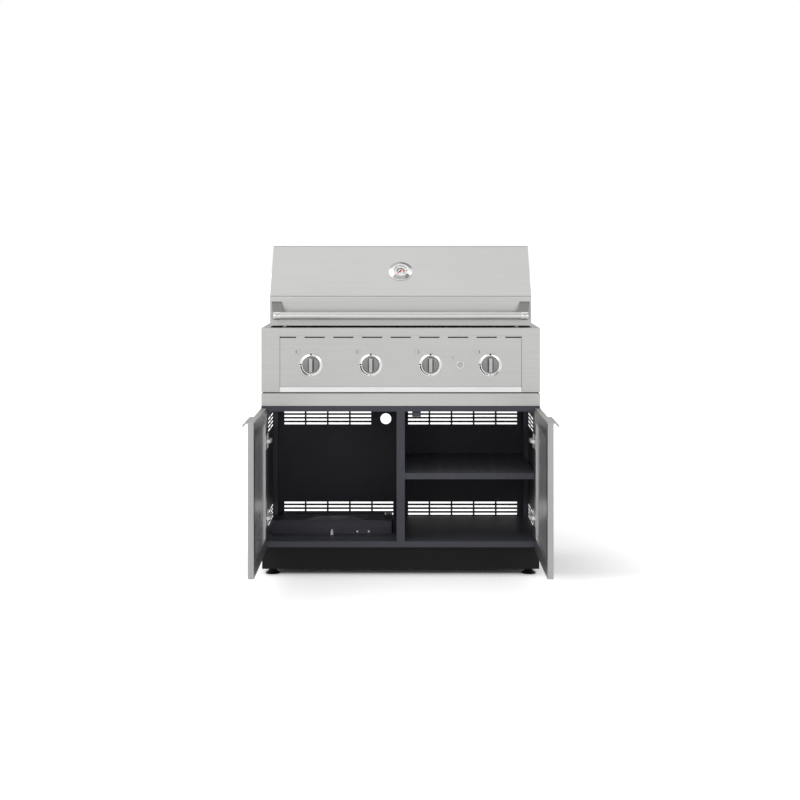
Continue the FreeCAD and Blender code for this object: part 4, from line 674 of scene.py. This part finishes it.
def blacken(sheet, mask, colour, roughness=0.6):
    """Covers part of a finish with a dull colour: etching, enamel, soot or painted shade."""
    for title, plain in (("Base Color", colour), ("Metallic", 0.0), ("Roughness", roughness)):
        socket = sheet.shader.inputs[title]
        old = Wire(sheet, socket.links[0].from_socket) if socket.is_linked else socket.default_value
        if title == "Base Color":
            sheet.feed(socket, sheet.mix(mask, old, plain))
        elif socket.is_linked:
            sheet.feed(socket, old + (plain - old) * mask)
        else:
            sheet.feed(socket, mask * (plain - old) + old)


def head_steel():
    """Brushed sheet, with painted shade on the support in the gap over the fascia, and soot and painted
    shade on the deck under the lid.
    """
    sheet = brushed_steel_finish("grill_head_stainless")
    x, y, z = (sheet.axis(letter) for letter in "XYZ")
    gap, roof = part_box("base_fascia")[1].z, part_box("housing_back")[0].z
    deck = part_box("grill_housing")[1].z
    low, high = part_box("lid_shell")
    foot = z.ramp(*(gap + rise for rise in GAP_SHADE_FOOT))
    gap_shade = foot * z.ramp(roof + GAP_SHADE_HEAD, roof - GAP_SHADE_HEAD)
    level = z.ramp(*(deck - depth for depth in SOOT_AND_SHADE_DEPTH))
    wide = x.math("ABSOLUTE").ramp(high.x, high.x - SOOT_AND_SHADE_SIDE)
    deep = y.ramp(low.y - SOOT_AND_SHADE_FRONT, low.y) * y.ramp(high.y, high.y - SOOT_AND_SHADE_BACK)
    # Painted shade: the support in the gap is painted dark.
    blacken(sheet, gap_shade, GAP_PAINTED_SHADE)
    # Soot and painted shade on the deck under the lid.
    blacken(sheet, level * wide * deep, SOOT_AND_SHADE, 1.0)
    return sheet.material


def pale_steel(name, colour):
    """Fine satin sheet, more even than the brushed one, painted paler as a painted sheen."""
    sheet = brushed_steel_finish(name, colour=colour, roughness=0.36, depth=0.03)
    return sheet.wear(Metallic=0.3).material


def knob_places():
    return [FIRST_KNOB + KNOB_PITCH * step for step in range(KNOB_COUNT)]


def near(wire, middle, half, blur=PRINT_BLUR):
    """1 within a half width of the middle, else 0."""
    return (wire - middle).math("ABSOLUTE").ramp(half + blur, half - blur)


def length(x, y):
    return (x * x + y * y).math("SQRT")


def sign_mask(sheet, number, centre):
    """The outline of a burner sign, and its dark bar."""
    x, z = sheet.axis("X") - centre[0], sheet.axis("Z") - centre[1]
    wide, tall = SIGN_HALF
    inside = near(x, 0.0, wide) * near(z, 0.0, tall)
    hollow = near(x, 0.0, wide - SIGN_LINE) * near(z, 0.0, tall - SIGN_LINE)
    quarter = wide * (2 * number - KNOB_COUNT - 1) / KNOB_COUNT
    bar = near(x, quarter, wide * SIGN_BAR[0]) * near(z, 0.0, tall * SIGN_BAR[1])
    return (inside - hollow) * SIGN_INK[0] + bar * SIGN_INK[1]


def bulb_mask(sheet):
    """The outline of a lamp, and its cap."""
    x, z = sheet.axis("X") - BULB_PLACE[0], sheet.axis("Z") - BULB_PLACE[1]
    cap = near(x, 0.0, BULB_CAP[0]) * near(z, BULB_CAP_LEVEL, BULB_CAP[1])
    return (near(length(x, z), BULB_RADIUS, BULB_LINE) + cap) * BULB_INK


def panel_steel():
    """Brushed control panel with its etched signs, and painted shade in the seams beside the pillars.
    """
    sheet = brushed_steel_finish("control_panel_stainless")
    mark = bulb_mask(sheet)
    for number, x in enumerate(knob_places(), 1):
        centre = (x + SIGN_OFFSET[0], KNOB_LEVEL + SIGN_OFFSET[1])
        mark = sign_mask(sheet, number, centre) + mark
    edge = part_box("control_panel")[1].x - SEAM
    seam_shade = sheet.axis("X").math("ABSOLUTE").ramp(edge - SEAM_BLUR, edge)
    blacken(sheet, mark.math("MINIMUM", 1.0), ETCHED)
    # Painted shade along the seams beside the pillars.
    blacken(sheet, seam_shade * SEAM_SHADE_INK, GAP_PAINTED_SHADE)
    return sheet.material


dress(head_steel(), "base_fascia", "grill_housing", "housing_back")
# The grease tray's front is painted near white: a painted sheen on its leaning lip.
dress(pale_steel("tray_front_painted_sheen", TRAY_FRONT_PAINTED_SHEEN), "grease_tray")
dress(panel_steel(), "control_panel")
dress(mill_steel, "grease_tray_rails", "lid_brackets", "lid_pins", "lid_liner")


# Bezels: satin steel rings, turned and fixed on the panel round the spindles, with black enamel in
# their marks: a dot for off, a tapering arc from high to low, and a small flame at each end of it.

RING_STEEL = (0.70, 0.70, 0.695)
ENAMEL = (0.006, 0.006, 0.006)
BEZEL_OUTLINE = [
    (0.0315, 0.0001), (0.0315, 0.0034), (0.0330, 0.0034), (0.0420, 0.0018), (0.0420, 0.0001),
]
SWITCH_OUTLINE = [(0.0103, 0.0002), (0.0103, 0.0030), (0.0140, 0.0030), (0.0150, 0.0)]
BEZEL_EASE = 0.0005
SWITCH_EASE = 0.0006
GROOVES = 2600.0
MARK_RADIUS = 0.0373
ARC_ENDS = (math.radians(186.0), math.radians(256.0))
ARC_WIDTHS = (0.0025, 0.0009)
DOT = (0.0036, 0.0031)
FLAME = (0.0030, 0.0022)
FLAME_SHIFT = (0.0004, -0.001)
FLAME_STRETCH = math.sqrt(0.4)
SMALL_FLAME = (0.0024, 0.0017)
SMALL_FLAME_INK = 0.8
FULL_TURN = 2 * math.pi
FACE_OUT = Matrix.Rotation(math.radians(90.0), 4, "X")


def between(wire, low, high):
    """1 from low to high, else 0."""
    return wire.math("GREATER_THAN", low) * wire.math("LESS_THAN", high)


def angle_from(low, x, y):
    """The angle round the middle, counted from low to a full turn more."""
    angle = y.math("ARCTAN2", x)
    return angle + angle.math("LESS_THAN", low) * FULL_TURN


def knob_marks(x, z):
    """Where the enamel lies, with X and Z from the knob's middle."""
    start, end = ARC_ENDS
    wide, narrow = ARC_WIDTHS
    angle = angle_from(0.0, x, z)
    width = (end - angle) * ((wide - narrow) / (end - start)) + narrow
    offset = (length(x, z) - MARK_RADIUS).math("ABSOLUTE")
    arc = between(angle, start, end) * offset.math("LESS_THAN", width)
    dot = length(x, z - MARK_RADIUS).ramp(*DOT)
    aside = (x + (MARK_RADIUS + FLAME_SHIFT[0])) * FLAME_STRETCH
    flame = length(aside, z + FLAME_SHIFT[1]).ramp(*FLAME)
    small = length(x, z + MARK_RADIUS).ramp(*SMALL_FLAME) * SMALL_FLAME_INK
    return (arc + dot + flame + small).math("MINIMUM", 1.0)


def turned_satin():
    """Lathe-turned steel: fine circles, and the marks at each knob filled with black enamel."""
    ring = Finish("bezel_satin", metallic=1.0)
    along = (ring.axis("X") - FIRST_KNOB) / KNOB_PITCH
    x = (along - along.math("ROUND")) * KNOB_PITCH
    z = ring.axis("Z") - KNOB_LEVEL
    inputs = {"W": length(x, z) * GROOVES, "Scale": 1.0, "Detail": 1.0}
    grooves = ring.node("TexNoise", {"noise_dimensions": "1D"}, inputs)
    ring.wear(
        Base_Color=ring.vary(grooves, RING_STEEL, 0.96, 1.04),
        Roughness=grooves * 0.06 + 0.15,
        Normal=ring.bump(grooves, 0.05, 0.0003),
    )
    blacken(ring, knob_marks(x, z), ENAMEL, 0.9)
    return ring.material


def bezel_shapes():
    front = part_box("control_panel")[0].y
    outline = softened(BEZEL_OUTLINE, BEZEL_EASE, closed=True)
    for x in knob_places():
        yield lathe(outline, Matrix.Translation((x, front, KNOB_LEVEL)) @ FACE_OUT, closed=True)
    low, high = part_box("light_button")
    ring = softened(SWITCH_OUTLINE, SWITCH_EASE, closed=True)
    middle = Matrix.Translation(((low.x + high.x) / 2, front, KNOB_LEVEL))
    yield lathe(ring, middle @ FACE_OUT, closed=True, steps=SMALL_STEPS)


stand_for("panel_bezels", bezel_shapes(), turned_satin())


# Gas train: a manifold and its supply pipe, bent from plated steel tube, with four valves of
# machined brass on it. Their spindles reach out through the panel to the knobs.

BRASS = (0.58, 0.40, 0.16)
DULL_PATCHES = 70.0
TURNING = (1200.0, 60.0, 1200.0)


def cast_brass(name):
    """Machined brass, dulled in patches."""
    metal = Finish(name, metallic=1.0)
    dull = metal.noise(DULL_PATCHES, 4.0)
    turned = metal.noise(TURNING, 1.0)
    metal.wear(
        Base_Color=metal.vary(dull.ramp(0.4, 0.7), BRASS, 1.0, 0.72),
        Roughness=dull * 0.22 + 0.22,
        Normal=metal.bump(turned, 0.12, 0.0003),
    )
    return metal.material


spindles = [f"valve_spindle_{number}" for number in range(1, KNOB_COUNT + 1)]
dress(zinc, "gas_manifold")
dress(cast_brass("brass"), "gas_valves", *spindles)


# Firebox, burners, flame tamers and warming rack, of stainless sheet, tube and wire that the fire
# has stained, and cooking grates of enamelled cast iron, which rest on the firebox's ledges.

IRON = (0.028, 0.028, 0.029)
RUST = (0.055, 0.036, 0.026)
STRAW = (0.50, 0.45, 0.36)
TEMPER_BLUE = (0.34, 0.33, 0.38)
SAND = 450.0
RUST_SPOTS = 35.0
HEAT_BANDS = (7.0, 7.0, 14.0)
SOOT_AND_SHADE_EDGE = 0.006
SOOT_AND_SHADE_FADE = 0.03


def cast_iron(name):
    """Enamelled cast iron: a sandy skin with worn brown high spots."""
    metal = Finish(name)
    sand = metal.noise(SAND, 4.0)
    rust = metal.noise(RUST_SPOTS, 4.0).ramp(0.58, 0.75)
    metal.wear(
        Base_Color=metal.mix(rust * 0.4, IRON, RUST),
        Roughness=sand * 0.25 + 0.42,
        Normal=metal.bump(sand, 0.5, 0.0008),
    )
    return metal.material


def heated_steel(name):
    """Stainless that has seen fire: temper colours in soft bands."""
    metal = Finish(name, metallic=1.0)
    heat = metal.noise(HEAT_BANDS)
    fine = metal.noise(GRAIN["X"], 1.0)
    warm = metal.mix(heat.ramp(0.45, 0.65), shade(STEEL, 0.9), STRAW)
    return metal.wear(
        Base_Color=metal.mix(heat.ramp(0.66, 0.80) * 0.5, warm, TEMPER_BLUE),
        Roughness=heat * 0.12 + 0.32,
        Normal=metal.bump(fine, 0.06, 0.0004),
    )


def sooty_steel(name):
    """The same steel, blackened round the firebox's rim: soot, and painted shade where it lies under
    the closed lid.
    """
    metal = heated_steel(name)
    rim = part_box("firebox")[1].z - SOOT_AND_SHADE_EDGE
    # Soot and painted shade round the rim, under the closed lid.
    blacken(metal, metal.axis("Z").ramp(rim - SOOT_AND_SHADE_FADE, rim), SOOT_AND_SHADE, 1.0)
    return metal.material


dress(heated_steel("heated_stainless").material, "burners", "flame_tamers", "warming_rack")
dress(sooty_steel("sooty_shaded_stainless"), "firebox", "firebox_ledges")
dress(cast_iron("cast_iron"), "cooking_grates")


# Knobs: die-cast and satin plated, and pushed on the spindles. A low skirt carries a grip bar
# with sloping flanks, and the faces are brushed up and down.

KNOB_DARK = (0.23, 0.23, 0.228)
KNOB_LIGHT = (0.42, 0.42, 0.415)
KNOB_GRAIN = (ACROSS, ACROSS, 30.0)
KNOB_RADIUS = 0.030
SKIRT_DEEP = 0.012
SKIRT_EASE = 0.0010
SKIRT_OUTLINE = [
    (0.0, 0.0), (KNOB_RADIUS - 0.001, 0.0), (KNOB_RADIUS, 0.002),
    (KNOB_RADIUS - 0.0004, SKIRT_DEEP - 0.002), (KNOB_RADIUS - 0.0024, SKIRT_DEEP), (0.0, SKIRT_DEEP),
]
GRIP_FOOT = (0.0110, 0.0270)
GRIP_FRONT = (0.0060, 0.0262)
GRIP_CORNER = 0.55
GRIP_LIFT = 0.0005
GRIP_EASE = 0.0012
GRIP_CREASE = 0.3
LIGHT_START = 0.014
LIGHT_END = 0.0012


def knob_finish(face, front):
    """Satin plating, brushed along Z, and a lighter front on the grip."""
    metal = Finish("knob_satin", metallic=1.0)
    brushed = metal.noise(KNOB_GRAIN, 2.0)
    rise = metal.axis("Y").ramp(face - LIGHT_START, front + LIGHT_END)
    metal.wear(
        Base_Color=metal.mix(rise, KNOB_DARK, KNOB_LIGHT),
        Roughness=brushed * 0.16 + 0.26,
        Normal=metal.bump(brushed, 0.12, 0.0003),
    )
    return metal.material


def grip_ring(half, reach):
    """A long octagon: a bar's outline with its corners cut."""
    inner, end = half - half * GRIP_CORNER, reach - half * GRIP_CORNER
    return [
        (-half, -end), (-inner, -reach), (inner, -reach), (half, -end),
        (half, end), (inner, reach), (-inner, reach), (-half, end),
    ]


def grip(centre, face, front):
    """The bar across a knob: a long block whose flanks slope in to its front."""
    work = bmesh.new()
    rings = []
    for sizes, y in ((GRIP_FOOT, face + GRIP_LIFT), (GRIP_FRONT, front)):
        corners = grip_ring(*sizes)
        rings.append([work.verts.new((centre.x + x, y, centre.z + z)) for x, z in corners])
    back, top = rings
    count = len(back)
    for index in range(count):
        after = (index + 1) % count
        work.faces.new((back[index], back[after], top[after], top[index]))
    work.faces.new(top)
    work.faces.new(list(reversed(back)))
    bmesh.ops.recalc_face_normals(work, faces=work.faces)
    creases = [edge for edge in work.edges if edge.calc_face_angle(0.0) > GRIP_CREASE]
    proud = [edge for edge in creases if edge.verts[0].co.y < face]
    bmesh.ops.bevel(work, geom=proud, offset=GRIP_EASE, segments=3, profile=0.6, affect="EDGES")
    return work


skirt_outline = softened(SKIRT_OUTLINE, SKIRT_EASE)
knob_front, knob_back = (corner.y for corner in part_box("burner_knob_1"))
satin = knob_finish(knob_back - SKIRT_DEEP, knob_front)
for number in range(1, KNOB_COUNT + 1):
    low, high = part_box(f"burner_knob_{number}")
    centre = (low + high) / 2
    skirt = lathe(skirt_outline, Matrix.Translation((centre.x, high.y, centre.z)) @ FACE_OUT)
    bar = grip(centre, high.y - SKIRT_DEEP, low.y)
    stand_for(f"burner_knob_{number}", (skirt, bar), satin)


# Light switch: a pale push button with a shallow dish, moulded in plastic and held in its ring.
# The lamps under the lid have frosted covers, which are moulded too.

PALE_PLASTIC = (0.50, 0.50, 0.49)
LAMP_COVER = (0.80, 0.79, 0.74)
SMOOTH_SKIN = 600.0
FROSTED_SKIN = 240.0
MILKY = 30.0
BUTTON_LIP = 0.0012
BUTTON_EASE = 0.001


def plastic(name, colour, roughness, grain=SMOOTH_SKIN):
    """Moulded plastic with a fine mould texture."""
    moulding = Finish(name)
    skin = moulding.noise(grain, 2.0)
    cloud = moulding.noise(MILKY, 2.0)
    moulding.wear(
        Base_Color=moulding.vary(cloud.ramp(0.3, 0.7), colour, 0.96, 1.0),
        Roughness=skin * 0.08 + roughness,
        Normal=moulding.bump(skin, 0.08, 0.0003),
    )
    return moulding.material


def button_shape():
    low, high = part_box("light_button")
    radius, reach = (high.x - low.x) / 2, high.y - low.y
    edge = reach - BUTTON_LIP
    corners = [(0.0, 0.0), (radius, 0.0), (radius, edge), (radius - BUTTON_LIP, reach), (0.0, edge)]
    place = Matrix.Translation(((low.x + high.x) / 2, high.y, (low.z + high.z) / 2))
    return lathe(softened(corners, BUTTON_EASE), place @ FACE_OUT, steps=SMALL_STEPS)


button_pale = plastic("button_pale", PALE_PLASTIC, 0.3)
stand_for("light_button", [button_shape()], button_pale)
dress(plastic("lamp_cover", LAMP_COVER, 0.3, FROSTED_SKIN), "lid_lamps")


# Lid: a folded stainless hood. Its handle is a brushed tube between two satin castings on the
# hood's front, which end in satin collars round the tube's ends.

SATIN_CAST = (0.21, 0.21, 0.208)
COLLAR_METAL = (0.62, 0.62, 0.615)
TUBE_PAINTED_SHEEN = 1.22
WIPES = 160.0
COLLAR = (0.0143, 0.0150)
COLLAR_LIP = 0.0008
COLLAR_REACH = (0.4405, 0.4658)
COLLAR_EASE = 0.0007
TUBE_CHAMFER = 0.0015
TUBE_EASE = 0.0006
WELD_GAP = 2e-6
FLAT_ANGLE = math.radians(0.6)
CASTING_SMOOTH = 30.0
CASTING_EASE = 0.001
CASTING_CREASE = math.radians(38.0)
SIDEWAYS = Matrix.Rotation(math.radians(90.0), 4, "Y")


def polished_metal(name, colour, roughness):
    """Bright plated casting, with a faint wipe pattern in its gloss."""
    plate = Finish(name, metallic=1.0)
    wipe = plate.noise(WIPES, 4.0)
    plate.wear(
        Base_Color=plate.vary(wipe.ramp(0.3, 0.7), colour, 0.97, 1.03),
        Roughness=wipe * 0.06 + roughness,
        Normal=plate.bump(wipe, 0.03, 0.0003),
    )
    return plate.material


def joined_copy(name):
    """A copy of a CAD node's mesh with its loose triangles joined and its flat faces made whole."""
    work = bmesh.new()
    work.from_mesh(nodes[name].data)
    bmesh.ops.remove_doubles(work, verts=work.verts, dist=WELD_GAP)
    bmesh.ops.dissolve_limit(
        work, angle_limit=FLAT_ANGLE, verts=work.verts, edges=work.edges, delimit=set()
    )
    return work


def tube_middle():
    low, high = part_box("handle_tube")
    return Matrix.Translation((0.0, (low.y + high.y) / 2, (low.z + high.z) / 2)) @ SIDEWAYS


def handle_shape():
    low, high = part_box("handle_tube")
    radius = (high.z - low.z) / 2
    rim = radius - TUBE_CHAMFER
    corners = [
        (0.0, low.x), (rim, low.x), (radius, low.x + TUBE_CHAMFER),
        (radius, high.x - TUBE_CHAMFER), (rim, high.x), (0.0, high.x),
    ]
    return lathe(softened(corners, TUBE_EASE), tube_middle())


def collar_shapes():
    inner, outer = COLLAR[0] - COLLAR_LIP, COLLAR[1]
    for sign in (-1, 1):
        start, end = sorted(sign * reach for reach in COLLAR_REACH)
        corners = [(inner, start), (outer, start), (outer, end), (inner, end)]
        yield lathe(softened(corners, COLLAR_EASE, closed=True), tube_middle(), closed=True)


def ease_edges(piece):
    rounding = piece.modifiers.new("eased_edges", "BEVEL")
    rounding.width = CASTING_EASE
    rounding.segments = 2
    rounding.limit_method = "ANGLE"
    rounding.angle_limit = CASTING_CREASE


dress(steel, "lid_shell")
tube_sheen_grey = shade(STEEL, TUBE_PAINTED_SHEEN)
# The tube's stainless is painted lighter than the hood's: a painted sheen.
handle_steel = brushed_steel("handle_stainless_painted_sheen", colour=tube_sheen_grey, roughness=0.36)
collar_satin = polished_metal("collar_satin", COLLAR_METAL, 0.2)
satin_casting = polished_metal("satin_casting", SATIN_CAST, 0.3)
stand_for("handle_tube", [handle_shape()], handle_steel)
collars = plain_mesh("handle_collars", *collar_shapes())
settle("handle_collars", collars, collar_satin, "lid")
castings = [joined_copy("handle_brackets")]
brackets = stand_for("handle_brackets", castings, satin_casting, CASTING_SMOOTH)
ease_edges(brackets)


# Thermometer: a dished chrome case with an enamelled dial under glass, printed with a scale in
# plain numbers, a black band and a red band, and a red needle on its staff.

CHROME = (0.80, 0.80, 0.795)
CASE_OUTLINE = [
    (0.0, 0.0), (0.0450, 0.0), (0.0450, 0.0022), (0.0435, 0.0032), (0.0300, 0.0083),
    (0.0275, 0.0090), (0.0262, 0.0084), (0.0260, 0.0025), (0.0, 0.0025),
]
CASE_EASE = 0.0010
DIAL_RADIUS = 0.0259
DIAL_LEVEL = 0.0028
DIAL_THICK = 0.0003
DIAL_WHITE = (0.90, 0.90, 0.89)
DIAL_RED = (0.55, 0.03, 0.05)
NEEDLE_RED = (0.60, 0.015, 0.02)
PRINT_GREY = (0.22, 0.22, 0.22)
DIAL_GRAIN = 400.0
GLASS_WIPES = 60.0
BAND = (0.0100, 0.0144)
BLACK_BAND = (math.radians(48.0), math.radians(200.0))
RED_BAND = (math.radians(-45.0), math.radians(46.0))
TICKS = (0.0225, 0.0250)
TICK_HALF = 0.00035
TICK_BLUR = 0.0001
TICK_STEP = math.radians(15.0)
TICK_ENDS = (math.radians(-46.0), math.radians(226.0))
TICK_INK = 0.4
NUMBERS = (100, 200, 300, 400, 500, 600)
NUMBER_START = 180.0
NUMBER_STEP = 45.0
NUMBER_RADIUS = 0.0196
NUMBER_SIZE = 0.0040
PRINT_LIFT = 0.0001


def slope_frame():
    """Places the case's axis, which is the needle's, at the middle of the case's back."""
    joints = frame["record"]["behaviour"]["joints"]
    needle = next(joint for joint in joints if joint["name"] == "gauge_needle_turn")
    outwards = -Vector(needle["axis"]).normalized()
    pivot = Vector(needle["pos_m"])
    low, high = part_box("thermometer_case")
    across = Vector((1.0, 0.0, 0.0))
    up = outwards.cross(across)
    radius = (high.x - low.x) / 2
    back = pivot + outwards * ((low.z + radius * abs(up.z) - pivot.z) / outwards.z)
    turn = Matrix((across, up, outwards)).transposed().to_4x4()
    return Matrix.Translation(back) @ turn


def ring_between(radius, edges):
    """1 on the ring between two radii."""
    return near(radius, sum(edges) / 2, (edges[1] - edges[0]) / 2)


def dial_finish(place):
    """White enamel with the scale printed on it, in the dial's own plane."""
    dial = Finish("dial_print")
    inverse = place.inverted()
    inputs = {
        "Vector": dial.node("TexCoord", output="Object"),
        "Rotation": inverse.to_euler(),
        "Location": inverse.translation,
    }
    flat = dial.node("Mapping", None, inputs)
    x, y = dial.axis("X", flat), dial.axis("Y", flat)
    radius = length(x, y)
    angle = angle_from(-math.pi / 2, x, y)
    band = ring_between(radius, BAND)
    nearest = (angle / TICK_STEP).math("ROUND") * TICK_STEP
    tick = near((angle - nearest) * radius, 0.0, TICK_HALF, TICK_BLUR)
    tick = tick * ring_between(radius, TICKS) * between(angle, *TICK_ENDS)
    grain = dial.noise(DIAL_GRAIN, 2.0)
    face = dial.vary(grain, DIAL_WHITE, 0.97, 1.0)
    black = (band * between(angle, *BLACK_BAND) + tick * TICK_INK).math("MINIMUM", 1.0)
    red = band * between(angle, *RED_BAND)
    dial.wear(
        Base_Color=dial.mix(red, dial.mix(black, face, ENAMEL), DIAL_RED),
        Roughness=grain * 0.1 + 0.35,
        Normal=dial.bump(grain, 0.05, 0.0002),
    )
    return dial.material


def number_shape(place, value, turn):
    """One printed number, its middle at an angle round the dial."""
    curve = bpy.data.curves.new("number", "FONT")
    curve.body = str(value)
    curve.size = NUMBER_SIZE
    curve.align_x = "CENTER"
    curve.align_y = "CENTER"
    curve.resolution_u = 3
    holder = bpy.data.objects.new("number", curve)
    mesh = bpy.data.meshes.new_from_object(holder)
    level = DIAL_LEVEL + PRINT_LIFT
    spot = Vector((NUMBER_RADIUS * math.cos(turn), NUMBER_RADIUS * math.sin(turn), level))
    mesh.transform(place @ Matrix.Translation(spot))
    work = bmesh.new()
    work.from_mesh(mesh)
    bpy.data.objects.remove(holder)
    bpy.data.meshes.remove(mesh)
    return work


def dial_numbers(place):
    """The numbers of the scale, from the cold end round to the hot end."""
    for step, value in enumerate(NUMBERS):
        yield number_shape(place, value, math.radians(NUMBER_START - NUMBER_STEP * step))


def clear_glass(name):
    """Clear glass, with faint wipe marks in its gloss."""
    glass = Finish(name)
    wipe = glass.noise(GLASS_WIPES).ramp(0.55, 0.8)
    glass.wear(Transmission_Weight=1.0, IOR=1.12, Base_Color=(1.0, 1.0, 1.0), Roughness=wipe * 0.03)
    return glass.material


slope = slope_frame()
chrome = polished_metal("polished_chrome", CHROME, 0.07)
case = lathe(softened(CASE_OUTLINE, CASE_EASE), slope)
stand_for("thermometer_case", [case], chrome)
under, over = DIAL_LEVEL - DIAL_THICK, DIAL_LEVEL
disc = lathe([(0.0, under), (DIAL_RADIUS, under), (DIAL_RADIUS, over), (0.0, over)], slope)
dial_mesh = plain_mesh("thermometer_dial", disc)
settle("thermometer_dial", dial_mesh, dial_finish(slope), "lid")
print_grey = plastic("dial_numerals", PRINT_GREY, 0.5)
number_mesh = plain_mesh("dial_numbers", *dial_numbers(slope))
settle("thermometer_numbers", number_mesh, print_grey, "lid")
dress(clear_glass("gauge_glass"), "thermometer_glass")
dress(plastic("needle_red", NEEDLE_RED, 0.35), "thermometer_needle")


# Photographer's room: a white floor, soft light all round, a broad lamp and a key lamp high on
# the left in front, and small ones that give polished rims their glints. Metal also sees the dim
# parts of the ceiling, before and behind. The camera stands level with the lid.

CAMERA_HEIGHT = 1.214
CAMERA_REACH = 5.7225
FOCAL_PIXELS = 1564.0
PICTURE = 800.0
SENSOR = 36.0
MIDDLE_PIXEL = 400.7
HORIZON_PIXEL = 244.65
ROOM_LIGHT = 0.72
LAMP_LIGHT = 0.16
LAMPS = (
    ("broad_lamp", (-0.62, -0.24, 0.83), LAMP_LIGHT, 120.0),
    ("key_lamp", (-0.62, -0.24, 0.83), 0.06, 34.0),
    ("overhead_lamp", (0.05, -0.20, 0.98), 0.012, 40.0),
    ("glint_left", (-0.242, -0.940, 0.242), 0.010, 12.0),
    ("glint_right", (0.284, -0.940, 0.191), 0.007, 12.0),
    ("glint_over", (0.50, -0.22, 0.84), 0.014, 18.0),
)
LAMP_AWAY = 5.0
CEILING = 0.72
CEILING_SIDES = (0.62, 0.45)
FRONT_BAND = (0.36, 0.58, 0.82, 0.93)
FRONT_SIDE = (0.05, -0.2)
BACK_BAND = (0.16, 0.34, 0.84, 0.93)
BACK_SIDE = (0.1, 0.3)
FLOOR_REACH = 60.0
FLOOR_COLOUR = 0.96
FLOOR_LIFT = 0.40
FLOOR_MIRRORED = 1.01
SHADE_DEPTH = 0.6
SHADE_RIGHT = (0.45, 0.56)
SHADE_REACH = (1.25, 0.62)
SHADE_FRONT = (-0.12, 0.10)
UNDER_FRONT = (0.030, 0.078)
UNDER_BACK = (0.56, 0.50)
UNDER_SIDES = (0.53, 0.47)
WHITE = (1.0, 1.0, 1.0, 1.0)


class RoomLight(Finish):
    """The light all round the object, made of the same nodes as a finish."""

    def __init__(self, name):
        world = bpy.data.worlds.new(name)
        world.use_nodes = True
        bpy.context.scene.world = world
        self.tree = world.node_tree
        self.shader = self.tree.nodes["Background"]


def seen_by(finish, kind):
    """1 where a ray of this kind arrives, else 0."""
    return finish.node("LightPath", output=f"Is {kind} Ray")


def ceiling_band(level, edges):
    """1 between the middle two edges, 0 outside the outer two, and smooth between them."""
    return level.ramp(edges[0], edges[1]) * level.ramp(edges[3], edges[2])


def room():
    """White where the camera, mirrors and glass look, and plain soft light for everything else."""
    light = RoomLight("room")
    glossy = seen_by(light, "Glossy")
    clear = seen_by(light, "Camera").math("MAXIMUM", seen_by(light, "Transmission"))
    bright = clear.math("MAXIMUM", glossy).ramp(0.0, 1.0, ROOM_LIGHT, 1.0)
    way = light.node("TexCoord", output="Generated")
    x, y, z = (light.axis(letter, way) for letter in "XYZ")
    front = ceiling_band(z, FRONT_BAND) * y.ramp(*FRONT_SIDE)
    back = ceiling_band(z, BACK_BAND) * y.ramp(*BACK_SIDE)
    dim = (front + back) * x.math("ABSOLUTE").ramp(*CEILING_SIDES) * glossy
    light.wear(Color=WHITE, Strength=bright * (1.0 - dim * CEILING))


def floor_paint():
    """White, lifted where the camera and mirrors look; the lift is taken away under the cabinet and cut
    back to its right, which paints shadow there.
    """
    paint = Finish("studio_floor", specular=0.0)
    x, y = paint.axis("X"), paint.axis("Y")
    # Painted shadow: no lift under the cabinet, and less lift to its right.
    under = y.ramp(*UNDER_FRONT) * y.ramp(*UNDER_BACK) * x.math("ABSOLUTE").ramp(*UNDER_SIDES)
    right = x.ramp(*SHADE_RIGHT) * x.ramp(*SHADE_REACH) * y.ramp(*SHADE_FRONT)
    direct = seen_by(paint, "Camera") * FLOOR_LIFT * (1.0 - right * SHADE_DEPTH)
    lit = FLOOR_COLOUR * (ROOM_LIGHT + LAMP_LIGHT)
    mirrored = seen_by(paint, "Glossy") * (FLOOR_MIRRORED - lit)
    paint.wear(
        Base_Color=shade(WHITE[:3], FLOOR_COLOUR),
        Roughness=1.0,
        Emission_Color=WHITE,
        Emission_Strength=(direct + mirrored) * (1.0 - under),
    )
    return paint.material


def floor():
    """A wide white floor that keeps the object's soft shadow, with more shadow painted under and beside
    the cabinet.
    """
    mesh = bpy.data.meshes.new("studio_floor")
    corners = [(x * FLOOR_REACH, y * FLOOR_REACH, 0.0) for x, y in ((-1, -1), (1, -1), (1, 1), (-1, 1))]
    mesh.from_pydata(corners, [], [(0, 1, 2, 3)])
    mesh.materials.append(floor_paint())
    ground = bpy.data.objects.new("studio_floor", mesh)
    bpy.context.scene.collection.objects.link(ground)


def lamp(name, direction, light, spread):
    """Parallel soft light from a disc in the sky, so the floor is lit the same from edge to edge."""
    away = Vector(direction).normalized()
    sky = bpy.data.lights.new(name, "SUN")
    sky.angle = math.radians(spread)
    sky.energy = light * math.pi / away.z
    stand = bpy.data.objects.new(name, sky)
    stand.location = away * LAMP_AWAY
    stand.rotation_euler = away.to_track_quat("Z", "Y").to_euler()
    bpy.context.scene.collection.objects.link(stand)


def camera():
    lens = bpy.data.cameras.new("camera")
    lens.sensor_width = SENSOR
    lens.lens = FOCAL_PIXELS / PICTURE * SENSOR
    lens.shift_x = (PICTURE / 2 - MIDDLE_PIXEL) / PICTURE
    lens.shift_y = (HORIZON_PIXEL - PICTURE / 2) / PICTURE
    eye = bpy.data.objects.new("camera", lens)
    eye.location = (0.0, -CAMERA_REACH, CAMERA_HEIGHT)
    eye.rotation_euler = (math.pi / 2, 0.0, 0.0)
    bpy.context.scene.collection.objects.link(eye)
    bpy.context.scene.camera = eye


room()
floor()
for settings in LAMPS:
    lamp(*settings)
camera()
bpy.context.scene.view_settings.view_transform = "Standard"
